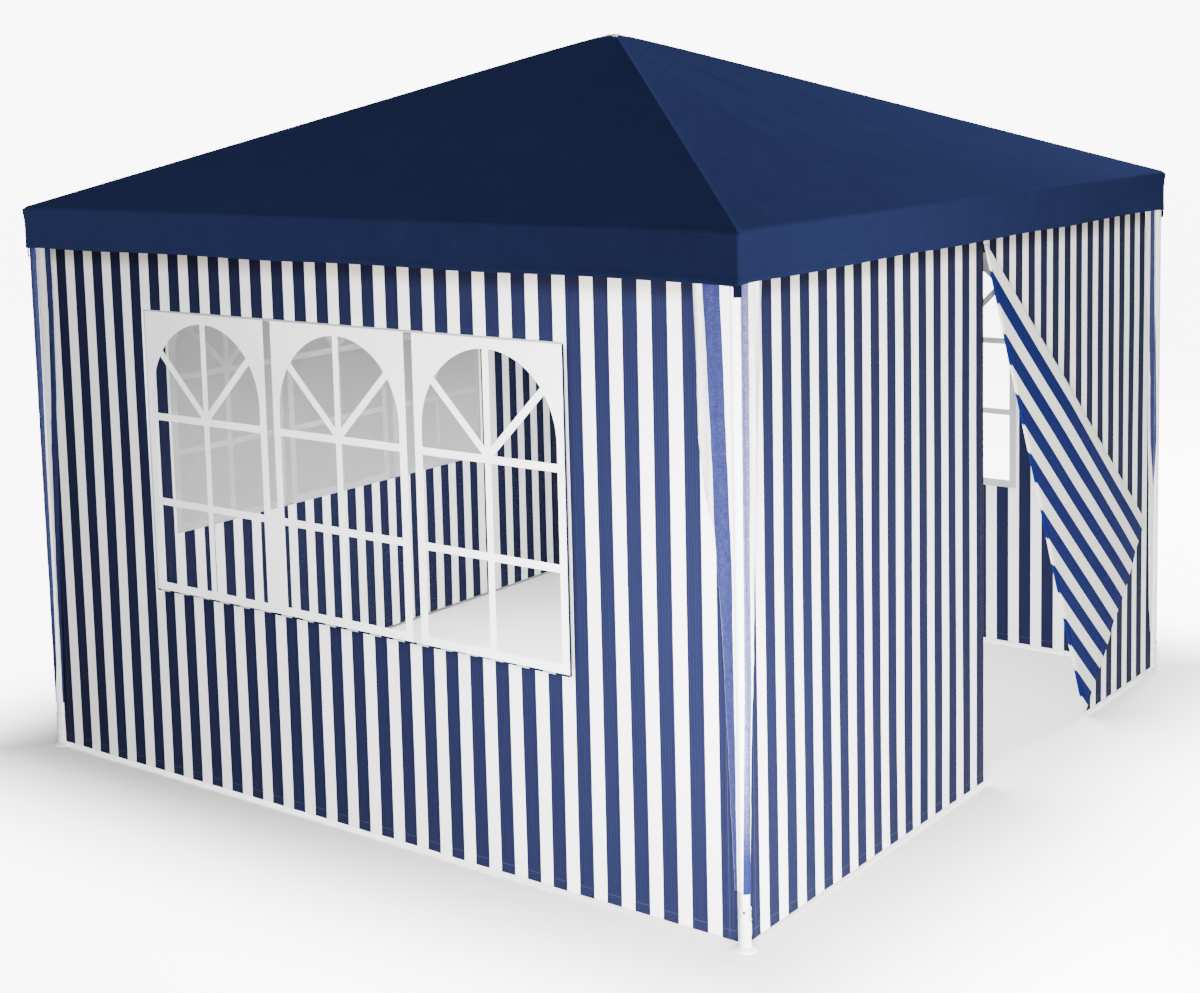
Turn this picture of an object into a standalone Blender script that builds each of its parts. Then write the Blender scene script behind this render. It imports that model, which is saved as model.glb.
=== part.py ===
"""Garden gazebo, 3 x 3 m: a tube frame under a pyramid canopy, with four striped walls.

Metres, +Z up. The origin is on the ground at the middle of the four feet. The door wall
faces -Y, and walls with windows stand at +X, +Y and -X.
"""

import math

import bmesh
import bpy
from mathutils import Matrix, Vector

# Driving dimensions
LEG_HALF = 1.47  # from the middle to a leg's axis, along X and Y
STRIPE = 0.098  # one blue and one white stripe together; 30 of them between two legs
EAVE_HALF = 1.49  # from the middle to the canopy's edge
EAVE_Z = 1.95
APEX_Z = 2.52
CLOTH = 0.003  # thickness of each cloth solid
TOUCH = 0.0003  # gap between two pieces that touch

# Frame tubes
TUBE_SIDES = 6  # bevel resolution of each tube
LEG_R = 0.013
RAIL_R = 0.0125
RAIL_Z = 1.935
RAFTER_R = 0.0095
RAFTER_DROP = 0.0157  # a rafter's axis below the canopy's underside, measured straight down
SLIP = 0.0004  # between a tube and the bore that it slides into
BORE_PAST = 0.01  # how far a boring tool runs out of its socket

# Corner connectors
SOCKET_R = 0.0157
SOCKET_LONG = 0.08
RAFTER_SOCKET_R = 0.0142
RAFTER_SOCKET_REACH = 0.06  # from the leg's axis to that socket's mouth, along X
RAFTER_BORE_REACH = 0.03  # from the leg's axis to the bottom of its bore, along X
SOCKET_TOP_Z = 1.9435
LEG_TOP_Z = 1.915
BORE_STOP = 0.025  # how near to the corner's middle a rail's bore runs

# Crown connector
CROWN_R = 0.034
CROWN_BOTTOM_Z = APEX_Z - 0.075
CROWN_TOP_Z = APEX_Z - 0.023
CROWN_DOME = 0.006
CROWN_ARM = 0.1
CROWN_BORE_REACH = 0.045  # from the middle to the bottom of an arm's bore, along X
CROWN_ARM_FROM = 0.006

# Feet
FOOT_DISC_R = 0.0325
FOOT_DISC_HIGH = 0.006
FOOT_R = 0.0152
FOOT_COLLAR_R = 0.0168
FOOT_COLLAR_Z = (0.042, 0.074)
FOOT_HIGH = 0.12
FOOT_FLOOR = 0.012

# Valance and walls
VALANCE_BOTTOM_Z = 1.81
WALL_HALF = 14.765 * STRIPE  # the outermost blue stripe ends here
HEM_Z = 0.015
WINDOW_WIDE = 1.784
WINDOW_Z = (0.66, 1.617)
FILM = 0.002

# Leg wraps
WRAP_BOTTOM_Z = 0.16
WRAP_BORE_R = 0.0135
WRAP_R = (0.015, 0.0165)  # at the foot and at the top
WRAP_WIDE = 0.13  # over each wall, at the top

# Door: the slit, and the half that is folded back along a slanting line
SLIT_X = -0.235 * STRIPE  # the edge of a blue stripe
FOLD_TOP_Z = 1.80
DOOR_CLEAR = 0.005  # round the closed flap
FOLD_ANGLE = math.radians(24.5)  # from the slit to the fold
FOLD_OUT = 0.004  # the fold's axis in front of the wall's middle plane
FOLD_BEAD_R = 0.0022
FOLD_WEB_THICK = 0.00154
FLAP_INSET = 0.005  # the flap's panel from the fold's axis, across the fold

TOP_SIDES = {"front": 0, "right": 1, "back": 2, "left": 3}
CORNERS = {"front_left": 0, "front_right": 1, "back_right": 2, "back_left": 3}


def clear_scene():
    for obj in list(bpy.data.objects):
        bpy.data.objects.remove(obj)
    for name in ("Garden_Gazebo", "Cutters"):
        collection = bpy.data.collections.new(name)
        bpy.context.scene.collection.children.link(collection)
    bpy.data.collections["Cutters"].hide_render = True


def material(name, colour, roughness, metallic=0.0):
    made = bpy.data.materials.new(name)
    made.use_nodes = True
    shader = made.node_tree.nodes["Principled BSDF"]
    shader.inputs["Base Color"].default_value = (*colour, 1)
    shader.inputs["Roughness"].default_value = roughness
    shader.inputs["Metallic"].default_value = metallic
    return made


def add(name, data, collection="Garden_Gazebo"):
    obj = bpy.data.objects.new(name, data)
    bpy.data.collections[collection].objects.link(obj)
    if collection == "Cutters":
        obj.hide_render = True
        obj.display_type = "WIRE"
    return obj


def finished_mesh(obj, name):
    """The object's evaluated shape as a mesh in world space, with its loose caps welded. The object goes."""
    bpy.context.view_layer.update()
    graph = bpy.context.evaluated_depsgraph_get()
    mesh = bpy.data.meshes.new_from_object(obj.evaluated_get(graph))
    mesh.name = name
    mesh.transform(obj.matrix_world)
    shape = bmesh.new()
    shape.from_mesh(mesh)
    bmesh.ops.remove_doubles(shape, verts=shape.verts, dist=0.00001)
    shape.to_mesh(mesh)
    shape.free()
    bpy.data.objects.remove(obj)
    return mesh


def smooth(mesh):
    mesh.shade_smooth()
    mesh.set_sharp_from_angle(angle=math.radians(35))


def ring_of(mesh, prefix, turns, look):
    """One object for each quarter turn about Z, all sharing the mesh."""
    for place, quarter in turns.items():
        obj = add(f"{prefix}_{place}", mesh)
        obj.rotation_euler = (0, 0, math.pi / 2 * quarter)
    mesh.materials.append(look)


def rod(name, start, end, radius):
    curve = bpy.data.curves.new(name, "CURVE")
    curve.dimensions = "3D"
    curve.bevel_depth = radius
    curve.bevel_resolution = TUBE_SIDES
    curve.use_fill_caps = True
    line = curve.splines.new("POLY")
    line.points.add(1)
    line.points[0].co = (*start, 1)
    line.points[1].co = (*end, 1)
    return add(name, curve)


def cylinder(name, start, end, radius):
    """A closed cylinder mesh between two points, for joining and cutting."""
    start, end = Vector(start), Vector(end)
    mesh = bpy.data.meshes.new(name)
    shape = bmesh.new()
    bmesh.ops.create_cone(
        shape,
        cap_ends=True,
        segments=32,
        radius1=radius,
        radius2=radius,
        depth=(end - start).length,
    )
    turn = (end - start).to_track_quat("Z", "Y").to_matrix().to_4x4()
    bmesh.ops.transform(shape, matrix=Matrix.Translation((start + end) / 2) @ turn, verts=shape.verts)
    shape.to_mesh(mesh)
    shape.free()
    return add(name, mesh, "Cutters")


def combine(obj, tool, operation):
    step = obj.modifiers.new(tool.name, "BOOLEAN")
    step.operation = operation
    step.object = tool


def turned(name, profile):
    """A profile in X and Z, from the axis back to the axis, turned about Z."""
    mesh = bpy.data.meshes.new(name)
    edges = [(i, i + 1) for i in range(len(profile) - 1)]
    mesh.from_pydata([(x, 0, z) for x, z in profile], edges, [])
    obj = add(name, mesh)
    turn = obj.modifiers.new("Turn", "SCREW")
    turn.steps = turn.render_steps = 32
    turn.use_merge_vertices = True
    turn.merge_threshold = 0.00001
    return obj


def sheet(name, outline, thick, hole=None, collection="Garden_Gazebo"):
    """A flat outline in X and Y with the thickness shared to both sides of it."""
    curve = bpy.data.curves.new(name, "CURVE")
    curve.dimensions = "2D"
    curve.fill_mode = "BOTH"
    curve.extrude = thick / 2
    for points in [outline] + ([hole] if hole else []):
        line = curve.splines.new("POLY")
        line.points.add(len(points) - 1)
        line.use_cyclic_u = True
        for point, (x, y) in zip(line.points, points):
            point.co = (x, y, 0, 1)
    return add(name, curve, collection)


def rectangle(x0, x1, y0, y1):
    return [(x0, y0), (x1, y0), (x1, y1), (x0, y1)]


def on_front(obj, y):
    """Stands a flat outline up, so that its X and Y become X and Z at this distance in front."""
    obj.rotation_euler = (math.pi / 2, 0, 0)
    obj.location = (0, y, 0)
    return obj


SLOPE = math.atan2(APEX_Z - EAVE_Z, EAVE_HALF)
UNDER_APEX_Z = APEX_Z - CLOTH / math.cos(SLOPE)


def rafter_point(reach):
    """A point on the front left rafter's axis, this far from the middle along X and along Y."""
    return Vector((-reach, -reach, UNDER_APEX_Z - RAFTER_DROP - reach * math.tan(SLOPE)))


def make_legs():
    """Round steel tube, from the foot's socket up into the corner connector."""
    leg = rod(
        "leg_tube", (-LEG_HALF, -LEG_HALF, FOOT_FLOOR + TOUCH), (-LEG_HALF, -LEG_HALF, LEG_TOP_Z), LEG_R
    )
    mesh = finished_mesh(leg, "Leg")
    smooth(mesh)
    ring_of(mesh, "leg", CORNERS, material("Leg_White", (0.78, 0.79, 0.8), 0.35))


def make_feet():
    """Moulded foot: a round disc on the ground, a socket for the leg and a collar round it."""
    bore = LEG_R + SLIP
    low, high = FOOT_COLLAR_Z
    profile = [
        (0, FOOT_FLOOR),
        (bore, FOOT_FLOOR),
        (bore, FOOT_HIGH),
        (FOOT_R, FOOT_HIGH),
        (FOOT_R, high + 0.003),
        (FOOT_COLLAR_R, high),
        (FOOT_COLLAR_R, low),
        (FOOT_R, low - 0.003),
        (FOOT_R + 0.002, FOOT_DISC_HIGH + 0.004),
        (FOOT_DISC_R - 0.002, FOOT_DISC_HIGH),
        (FOOT_DISC_R, FOOT_DISC_HIGH - 0.002),
        (FOOT_DISC_R, 0),
        (0, 0),
    ]
    foot = turned("foot_turned", profile)
    foot.location = (-LEG_HALF, -LEG_HALF, 0)
    mesh = finished_mesh(foot, "Foot")
    smooth(mesh)
    ring_of(mesh, "foot", CORNERS, material("Foot_White", (0.8, 0.8, 0.8), 0.4))


def make_corner_connectors():
    """Joined sockets for the leg, the two eave rails and the rafter, each bored from its own end."""
    corner = Vector((-LEG_HALF, -LEG_HALF, RAIL_Z))
    leg_end = Vector((-LEG_HALF, -LEG_HALF, RAIL_Z - SOCKET_LONG))
    body = cylinder("corner_body", leg_end, (-LEG_HALF, -LEG_HALF, SOCKET_TOP_Z), SOCKET_R)
    rafter_far = rafter_point(LEG_HALF - RAFTER_SOCKET_REACH)
    rafter_bore = rafter_point(LEG_HALF - RAFTER_BORE_REACH)
    rafter_out = rafter_point(LEG_HALF - RAFTER_SOCKET_REACH - BORE_PAST)
    for name, along in (("x", Vector((1, 0, 0))), ("y", Vector((0, 1, 0)))):
        arm = cylinder(f"corner_arm_{name}", corner, corner + along * SOCKET_LONG, SOCKET_R)
        combine(body, arm, "UNION")
    arm = cylinder("corner_arm_rafter", rafter_point(LEG_HALF), rafter_far, RAFTER_SOCKET_R)
    combine(body, arm, "UNION")
    leg_bore = cylinder(
        "corner_bore_leg",
        leg_end - Vector((0, 0, BORE_PAST)),
        (-LEG_HALF, -LEG_HALF, LEG_TOP_Z + TOUCH),
        LEG_R + SLIP,
    )
    combine(body, leg_bore, "DIFFERENCE")
    for name, along in (("x", Vector((1, 0, 0))), ("y", Vector((0, 1, 0)))):
        start = corner + along * BORE_STOP
        end = corner + along * (SOCKET_LONG + BORE_PAST)
        combine(body, cylinder(f"corner_bore_{name}", start, end, RAIL_R + SLIP), "DIFFERENCE")
    bore = cylinder("corner_bore_rafter", rafter_bore, rafter_out, RAFTER_R + SLIP)
    combine(body, bore, "DIFFERENCE")
    mesh = finished_mesh(body, "Corner_Connector")
    smooth(mesh)
    look = material("Connector_White", (0.75, 0.76, 0.77), 0.45)
    ring_of(mesh, "corner_connector", CORNERS, look)


def make_eave_rails():
    """Tubes between the corners, which the canopy's edge and the walls hang from."""
    reach = LEG_HALF - BORE_STOP - TOUCH
    rail = rod("rail_tube", (-reach, -LEG_HALF, RAIL_Z), (reach, -LEG_HALF, RAIL_Z), RAIL_R)
    mesh = finished_mesh(rail, "Eave_Rail")
    smooth(mesh)
    ring_of(mesh, "eave_rail", TOP_SIDES, material("Rail_White", (0.77, 0.78, 0.79), 0.35))


def make_rafters():
    """Thinner tubes from the corners up to the crown, under the canopy's hip seams."""
    crown_end = rafter_point(CROWN_BORE_REACH + TOUCH)
    corner_end = rafter_point(LEG_HALF - RAFTER_BORE_REACH - TOUCH)
    rafter = rod("rafter_tube", corner_end, crown_end, RAFTER_R)
    mesh = finished_mesh(rafter, "Rafter")
    smooth(mesh)
    ring_of(mesh, "rafter", CORNERS, material("Rafter_White", (0.76, 0.77, 0.78), 0.35))


def make_crown_connector():
    """A hub under the canopy's peak, with one bored arm for each rafter."""
    profile = [
        (0, CROWN_TOP_Z + CROWN_DOME),
        (CROWN_R / 3, CROWN_TOP_Z + CROWN_DOME * 0.85),
        (CROWN_R - 0.004, CROWN_TOP_Z),
        (CROWN_R, CROWN_TOP_Z - 0.006),
        (CROWN_R, CROWN_BOTTOM_Z + 0.004),
        (CROWN_R - 0.004, CROWN_BOTTOM_Z),
        (0, CROWN_BOTTOM_Z),
    ]
    hub = turned("crown_connector", profile)
    outer = rafter_point(CROWN_ARM / math.sqrt(2))
    beyond = rafter_point(CROWN_ARM / math.sqrt(2) + BORE_PAST)
    for operation, start, end, radius in (
        ("UNION", rafter_point(CROWN_ARM_FROM), outer, RAFTER_SOCKET_R),
        ("DIFFERENCE", rafter_point(CROWN_BORE_REACH), beyond, RAFTER_R + SLIP),
    ):
        for corner, quarter in CORNERS.items():
            tool = cylinder(f"crown_{operation.lower()}_{corner}", start, end, radius)
            tool.rotation_euler = (0, 0, math.pi / 2 * quarter)
            combine(hub, tool, operation)
    mesh = finished_mesh(hub, "Crown_Connector")
    smooth(mesh)
    mesh.materials.append(material("Crown_White", (0.74, 0.75, 0.76), 0.45))
    add("crown_connector", mesh)


def make_canopy():
    """Four flat roof panels, which meet along the hips, and the valance that hangs from their edges."""
    half_bend = math.acos(math.cos(SLOPE) ** 2) / 2
    trim = CLOTH * math.tan(half_bend) + TOUCH
    rise = math.hypot(EAVE_HALF, APEX_Z - EAVE_Z)
    half_tip = math.atan2(EAVE_HALF, rise)
    side_in = trim / math.cos(half_tip)
    outline = [(-EAVE_HALF + side_in, 0), (EAVE_HALF - side_in, 0), (0, rise - trim / math.sin(half_tip))]
    panel = sheet("roof_outline", outline, CLOTH)
    panel.rotation_euler = (SLOPE, 0, 0)
    into = Vector((0, math.sin(SLOPE), -math.cos(SLOPE))) * (CLOTH / 2)
    panel.location = Vector((0, -EAVE_HALF, EAVE_Z)) + into
    mesh = finished_mesh(panel, "Roof_Panel")
    ring_of(mesh, "roof_panel", TOP_SIDES, material("Canopy_Navy", (0.012, 0.023, 0.075), 0.5))

    top = EAVE_Z - CLOTH * math.cos(SLOPE) - TOUCH
    look = material("Valance_Navy", (0.015, 0.03, 0.1), 0.5)
    for sides, half in ((("front", "back"), EAVE_HALF), (("left", "right"), EAVE_HALF - CLOTH - TOUCH)):
        strip = sheet("valance_outline", rectangle(-half, half, VALANCE_BOTTOM_Z, top), CLOTH)
        on_front(strip, -EAVE_HALF + CLOTH / 2)
        mesh = finished_mesh(strip, "Valance")
        ring_of(mesh, "valance", {side: TOP_SIDES[side] for side in sides}, look)


def wall_top():
    """The wall's upper edge from left to right: under the rail, and lower under the connectors."""
    under_rail = RAIL_Z - RAIL_R - TOUCH
    under_socket = RAIL_Z - SOCKET_R - TOUCH
    step = LEG_HALF - SOCKET_LONG - 0.001
    return [
        (-WALL_HALF, under_socket),
        (-step, under_socket),
        (-step, under_rail),
        (step, under_rail),
        (step, under_socket),
        (WALL_HALF, under_socket),
    ]


def make_window_walls():
    """Three walls of woven sheet, each with a cut-out that a clear film closes."""
    half = WINDOW_WIDE / 2
    low, high = WINDOW_Z
    outline = [(-WALL_HALF, HEM_Z)] + wall_top() + [(WALL_HALF, HEM_Z)]
    wall = on_front(sheet("wall_outline", outline, CLOTH, rectangle(-half, half, low, high)), -LEG_HALF)
    film_outline = rectangle(-half + TOUCH, half - TOUCH, low + TOUCH, high - TOUCH)
    film = on_front(sheet("film_outline", film_outline, FILM), -LEG_HALF)
    sides = {side: TOP_SIDES[side] for side in ("right", "back", "left")}
    stripes = material("Wall_Stripes", (0.28, 0.31, 0.5), 0.6)
    clear = material("Window_Film", (0.7, 0.72, 0.74), 0.15)
    ring_of(finished_mesh(wall, "Window_Wall"), "window_wall", sides, stripes)
    ring_of(finished_mesh(film, "Window_Film"), "window_film", sides, clear)


def fold_line(z, off):
    """X on a line beside the fold at this height, off metres from it on its upper side."""
    return SLIT_X + DOOR_CLEAR + ((FOLD_TOP_Z - z) * math.sin(FOLD_ANGLE) + off) / math.cos(FOLD_ANGLE)


def make_door_wall():
    """The door wall's left half, and the part of its right half above the fold."""
    look = material("Door_Stripes", (0.3, 0.33, 0.52), 0.6)
    top = wall_top()
    left = [(-WALL_HALF, HEM_Z)] + top[:3] + [(SLIT_X, top[2][1]), (SLIT_X, HEM_Z)]
    slit = SLIT_X + TOUCH
    meets_slit = FOLD_TOP_Z + (DOOR_CLEAR - TOUCH) / math.tan(FOLD_ANGLE)
    right = [(slit, meets_slit), (slit, top[3][1])] + top[3:]
    right += [(WALL_HALF, HEM_Z), (fold_line(HEM_Z, 0), HEM_Z)]
    for name, outline in (("door_wall_left", left), ("door_wall_right", right)):
        half = on_front(sheet(name + "_outline", outline, CLOTH), -LEG_HALF)
        mesh = finished_mesh(half, name)
        mesh.materials.append(look)
        add(name, mesh)


def make_door_flap():
    """The folded half: a triangle of cloth beside a bead that runs along the fold's axis.

    Built along the fold, X down it from the slit, Y across it and Z out from the wall, and
    then stood on the wall with its origin on the fold's axis at the slit.
    """
    edge = FOLD_TOP_Z - HEM_Z
    long = edge / math.cos(FOLD_ANGLE)
    corner = (edge * math.cos(FOLD_ANGLE), edge * math.sin(FOLD_ANGLE))
    across = FLAP_INSET
    near = (across / math.tan(FOLD_ANGLE), across)
    far = (long - across * math.tan(FOLD_ANGLE), across)
    panel = sheet("flap_outline", [near, far, corner], CLOTH, collection="Cutters")
    panel.location = (0, 0, FOLD_OUT)
    panel_mesh = finished_mesh(panel, "Flap_Panel")
    flap = add("flap_panel", panel_mesh)

    bead = cylinder("fold_bead", (0.02, 0, 0), (long - 0.02, 0, 0), FOLD_BEAD_R)
    lean = math.atan2(FOLD_OUT, FLAP_INSET + 0.001)
    reach = math.hypot(FOLD_OUT, FLAP_INSET + 0.001)
    web = sheet("fold_web", rectangle(0.025, long - 0.025, 0, reach), FOLD_WEB_THICK, collection="Cutters")
    web.rotation_euler = (lean, 0, 0)
    web_mesh = finished_mesh(web, "Fold_Web")
    combine(flap, add("fold_web", web_mesh, "Cutters"), "UNION")
    combine(flap, bead, "UNION")
    mesh = finished_mesh(flap, "Door_Flap")
    mesh.materials.append(material("Flap_Stripes", (0.3, 0.33, 0.55), 0.6))

    down = Vector((math.sin(FOLD_ANGLE), 0, -math.cos(FOLD_ANGLE)))
    outward = Vector((0, -1, 0))
    side = outward.cross(down)
    obj = add("door_flap", mesh)
    place = Vector((SLIT_X + DOOR_CLEAR, -LEG_HALF - FOLD_OUT, FOLD_TOP_Z))
    obj.matrix_world = Matrix.Translation(place) @ Matrix((down, side, outward)).transposed().to_4x4()


def make_leg_wraps():
    """Cloth round the legs and over the walls' edges: a slender cone with a tapering wing on each wall."""
    low, high = WRAP_BOTTOM_Z, RAIL_Z - SOCKET_LONG - TOUCH
    narrow, wide = WRAP_R
    wrap = turned("wrap_turned", [(0, high), (wide, high), (narrow, low), (0, low)])
    wrap.location = (-LEG_HALF, -LEG_HALF, 0)
    outline = [(-LEG_HALF, low + 0.01), (-LEG_HALF + WRAP_WIDE, high), (-LEG_HALF, high)]
    outside = LEG_HALF + CLOTH + TOUCH
    front = on_front(sheet("wrap_wing_outline", outline, CLOTH, collection="Cutters"), -outside)
    mesh = finished_mesh(front, "Wrap_Wing")
    combine(wrap, add("wrap_wing_front", mesh, "Cutters"), "UNION")
    mirrored = mesh.copy()
    mirrored.transform(Matrix(((0, 1, 0, 0), (1, 0, 0, 0), (0, 0, 1, 0), (0, 0, 0, 1))))
    mirrored.flip_normals()
    combine(wrap, add("wrap_wing_side", mirrored, "Cutters"), "UNION")
    below, above = (-LEG_HALF, -LEG_HALF, low - 0.01), (-LEG_HALF, -LEG_HALF, high + 0.01)
    combine(wrap, cylinder("wrap_bore", below, above, WRAP_BORE_R), "DIFFERENCE")
    mesh = finished_mesh(wrap, "Leg_Wrap")
    smooth(mesh)
    ring_of(mesh, "leg_wrap", CORNERS, material("Wrap_Stripes", (0.6, 0.62, 0.7), 0.6))


clear_scene()
make_legs()
make_feet()
make_corner_connectors()
make_eave_rails()
make_rafters()
make_crown_connector()
make_canopy()
make_window_walls()
make_door_wall()
make_door_flap()
make_leg_wraps()
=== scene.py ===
import math

import bpy
from mathutils import Euler, Matrix, Vector, noise


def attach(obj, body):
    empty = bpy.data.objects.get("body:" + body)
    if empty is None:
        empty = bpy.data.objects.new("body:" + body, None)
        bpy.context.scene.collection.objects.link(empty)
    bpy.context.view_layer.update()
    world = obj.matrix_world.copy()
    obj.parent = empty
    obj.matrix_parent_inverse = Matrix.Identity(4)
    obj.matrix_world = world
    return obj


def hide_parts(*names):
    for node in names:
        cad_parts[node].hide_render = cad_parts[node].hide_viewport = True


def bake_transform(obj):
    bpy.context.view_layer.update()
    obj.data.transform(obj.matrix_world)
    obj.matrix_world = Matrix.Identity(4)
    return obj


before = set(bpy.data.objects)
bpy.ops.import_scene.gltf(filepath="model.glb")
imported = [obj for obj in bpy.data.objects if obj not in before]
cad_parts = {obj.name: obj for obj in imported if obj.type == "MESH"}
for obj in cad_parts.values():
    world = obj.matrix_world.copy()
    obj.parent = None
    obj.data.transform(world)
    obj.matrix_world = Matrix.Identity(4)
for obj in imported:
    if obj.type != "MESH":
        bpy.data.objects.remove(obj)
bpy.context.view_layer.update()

# ------------------------------------------------------------------
# Frame tubes: four legs, four eave rails and four hip rafters.
# Round welded steel tube, powder coated white. The coat has a faint
# orange peel, and dust settles low down on the legs.

WALL_LINE = 1.47
COAT_WHITE = (0.80, 0.80, 0.83, 1)
COAT_DUSTY = (0.60, 0.59, 0.60, 1)


def wire(tree, kind, inputs=None, **settings):
    """Adds one shader node, sets its fields, and fills or links its inputs by name or number."""
    made = tree.nodes.new("ShaderNode" + kind)
    for field, value in settings.items():
        setattr(made, field, value)
    for socket, value in (inputs or {}).items():
        if isinstance(value, bpy.types.NodeSocket):
            tree.links.new(value, made.inputs[socket])
        else:
            made.inputs[socket].default_value = value
    return made


def sums(tree, operation, *values):
    """One Math node's result."""
    return wire(tree, "Math", dict(enumerate(values)), operation=operation).outputs[0]


def ramp(tree, value, low, high, to_low=0.0, to_high=1.0):
    """value carried smoothly from low..high to to_low..to_high."""
    fields = {"Value": value, "From Min": low, "From Max": high, "To Min": to_low, "To Max": to_high}
    return wire(tree, "MapRange", fields, interpolation_type="SMOOTHSTEP").outputs[0]


def mixed(tree, share, first, second, blend="MIX"):
    """Two colours mixed by share."""
    made = wire(tree, "Mix", {0: share, 6: first, 7: second}, data_type="RGBA", blend_type=blend)
    return made.outputs[2]


def effect(name, inputs, outputs):
    """A node group with named sockets. Gives the group, its input node and its output node."""
    made = bpy.data.node_groups.new(name, "ShaderNodeTree")
    for label, kind, value in inputs:
        socket = made.interface.new_socket(label, in_out="INPUT", socket_type="NodeSocket" + kind)
        if value is not None:
            socket.default_value = value
    for label, kind in outputs:
        made.interface.new_socket(label, in_out="OUTPUT", socket_type="NodeSocket" + kind)
    return made, made.nodes.new("NodeGroupInput"), made.nodes.new("NodeGroupOutput")


def placed(tree, group, inputs):
    """The group placed in a material with its own values."""
    made = wire(tree, "Group", node_tree=group)
    for socket, value in inputs.items():
        if isinstance(value, bpy.types.NodeSocket):
            tree.links.new(value, made.inputs[socket])
        else:
            made.inputs[socket].default_value = value
    return made


# Settled dust: cloudy, and stronger near the ground
dust, given, put = effect(
    "settled dust",
    [("Vector", "Vector", None), ("Scale", "Float", 6.0), ("Reach", "Float", 0.4), ("Amount", "Float", 0.5)],
    [("Mask", "Float")],
)
cloud = wire(dust, "TexNoise", {"Vector": given.outputs["Vector"], "Scale": given.outputs["Scale"],
                                "Detail": 6.0, "Roughness": 0.65})
height = wire(dust, "SeparateXYZ", {0: given.outputs["Vector"]}).outputs["Z"]
near_ground = sums(dust, "SUBTRACT", 1.0, sums(dust, "DIVIDE", height, given.outputs["Reach"]))
low = ramp(dust, near_ground, 0.0, 1.0, 0.25, 1.0)
patches = ramp(dust, cloud.outputs["Fac"], 0.35, 0.75)
share = sums(dust, "MULTIPLY", sums(dust, "MULTIPLY", low, patches), given.outputs["Amount"])
dust.links.new(share, put.inputs["Mask"])

# Fine grain: the small unevenness of a coat or of moulded plastic
grain, given, put = effect(
    "fine grain",
    [("Vector", "Vector", None), ("Scale", "Float", 400.0), ("Rough", "Float", 0.4), ("Spread", "Float", 0.1)],
    [("Height", "Float"), ("Roughness", "Float")],
)
fine = wire(grain, "TexNoise", {"Vector": given.outputs["Vector"], "Scale": given.outputs["Scale"], "Detail": 2.0})
broad = wire(grain, "TexNoise", {"Vector": given.outputs["Vector"], "Scale": 9.0, "Detail": 4.0})
swing = sums(grain, "MULTIPLY", sums(grain, "SUBTRACT", broad.outputs["Fac"], 0.5), given.outputs["Spread"])
grain.links.new(fine.outputs["Fac"], put.inputs["Height"])
grain.links.new(sums(grain, "ADD", given.outputs["Rough"], swing), put.inputs["Roughness"])


def material_with(name, **constants):
    """A material with one Principled shader. Gives the material, its tree and the shader."""
    made = bpy.data.materials.new(name)
    made.use_nodes = True
    tree = made.node_tree
    shader = tree.nodes["Principled BSDF"]
    for socket, value in constants.items():
        shader.inputs[socket.replace("_", " ")].default_value = value
    return made, tree, shader


def hard_finish(name, clean, dirty, rough, grain_scale, depth, **constants):
    """Painted tube or moulded plastic: grain, uneven gloss and settled dust."""
    made, tree, shader = material_with(name, **constants)
    place = wire(tree, "TexCoord").outputs["Object"]
    dirt = placed(tree, dust, {"Vector": place, "Scale": 14.0, "Reach": 0.5, "Amount": 0.8}).outputs["Mask"]
    skin = placed(tree, grain, {"Vector": place, "Scale": grain_scale, "Rough": rough, "Spread": 0.25})
    tree.links.new(mixed(tree, dirt, clean, dirty), shader.inputs["Base Color"])
    tree.links.new(skin.outputs["Roughness"], shader.inputs["Roughness"])
    bump = wire(tree, "Bump", {"Height": skin.outputs["Height"], "Strength": 0.35, "Distance": depth})
    tree.links.new(bump.outputs["Normal"], shader.inputs["Normal"])
    return made


def refinish(material, *families):
    """Gives the CAD nodes of these families a better material."""
    for name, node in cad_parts.items():
        if name.startswith(families):
            for kept in node.material_slots:
                kept.material = material


tube_coat = hard_finish("white tube coat", COAT_WHITE, COAT_DUSTY, 0.38, 700.0, 0.0002, Coat_Weight=0.15)
refinish(tube_coat, "leg_front", "leg_back", "eave_rail", "rafter")

# ------------------------------------------------------------------
# Feet: moulded white plastic with a round disc, a socket and a collar.
# The plastic is duller than the tubes, and scuffed where it stands.
# A small black pan-head screw pins each leg in its socket.

FOOT_WHITE = (0.74, 0.74, 0.77, 1)
FOOT_SCUFFED = (0.45, 0.44, 0.44, 1)
SCREW_BLACK = (0.004, 0.004, 0.005, 1)
SCREW_WORN = (0.03, 0.03, 0.033, 1)
SCREW_Z = 0.109
SCREW_R = 0.0034
FOOT_R = 0.0152

foot_plastic = hard_finish("moulded foot", FOOT_WHITE, FOOT_SCUFFED, 0.52, 1500.0, 0.0001)
refinish(foot_plastic, "foot_")
screw_steel = hard_finish("blackened screw", SCREW_BLACK, SCREW_WORN, 0.55, 900.0, 0.0001, Specular_IOR_Level=0.1)


def mesh_piece(name, points, faces, material, uv=None, smooth=True):
    """A new mesh object in the shared frame. uv gives each point's place on the flat cloth."""
    mesh = bpy.data.meshes.new(name)
    mesh.from_pydata([tuple(p) for p in points], [], faces)
    mesh.materials.append(material)
    if uv:
        layer = mesh.uv_layers.new(name="flat_cloth")
        for loop in mesh.loops:
            layer.data[loop.index].uv = uv[loop.vertex_index]
    mesh.polygons.foreach_set("use_smooth", [smooth] * len(mesh.polygons))
    made = bpy.data.objects.new(name, mesh)
    bpy.context.scene.collection.objects.link(made)
    return made


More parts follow.
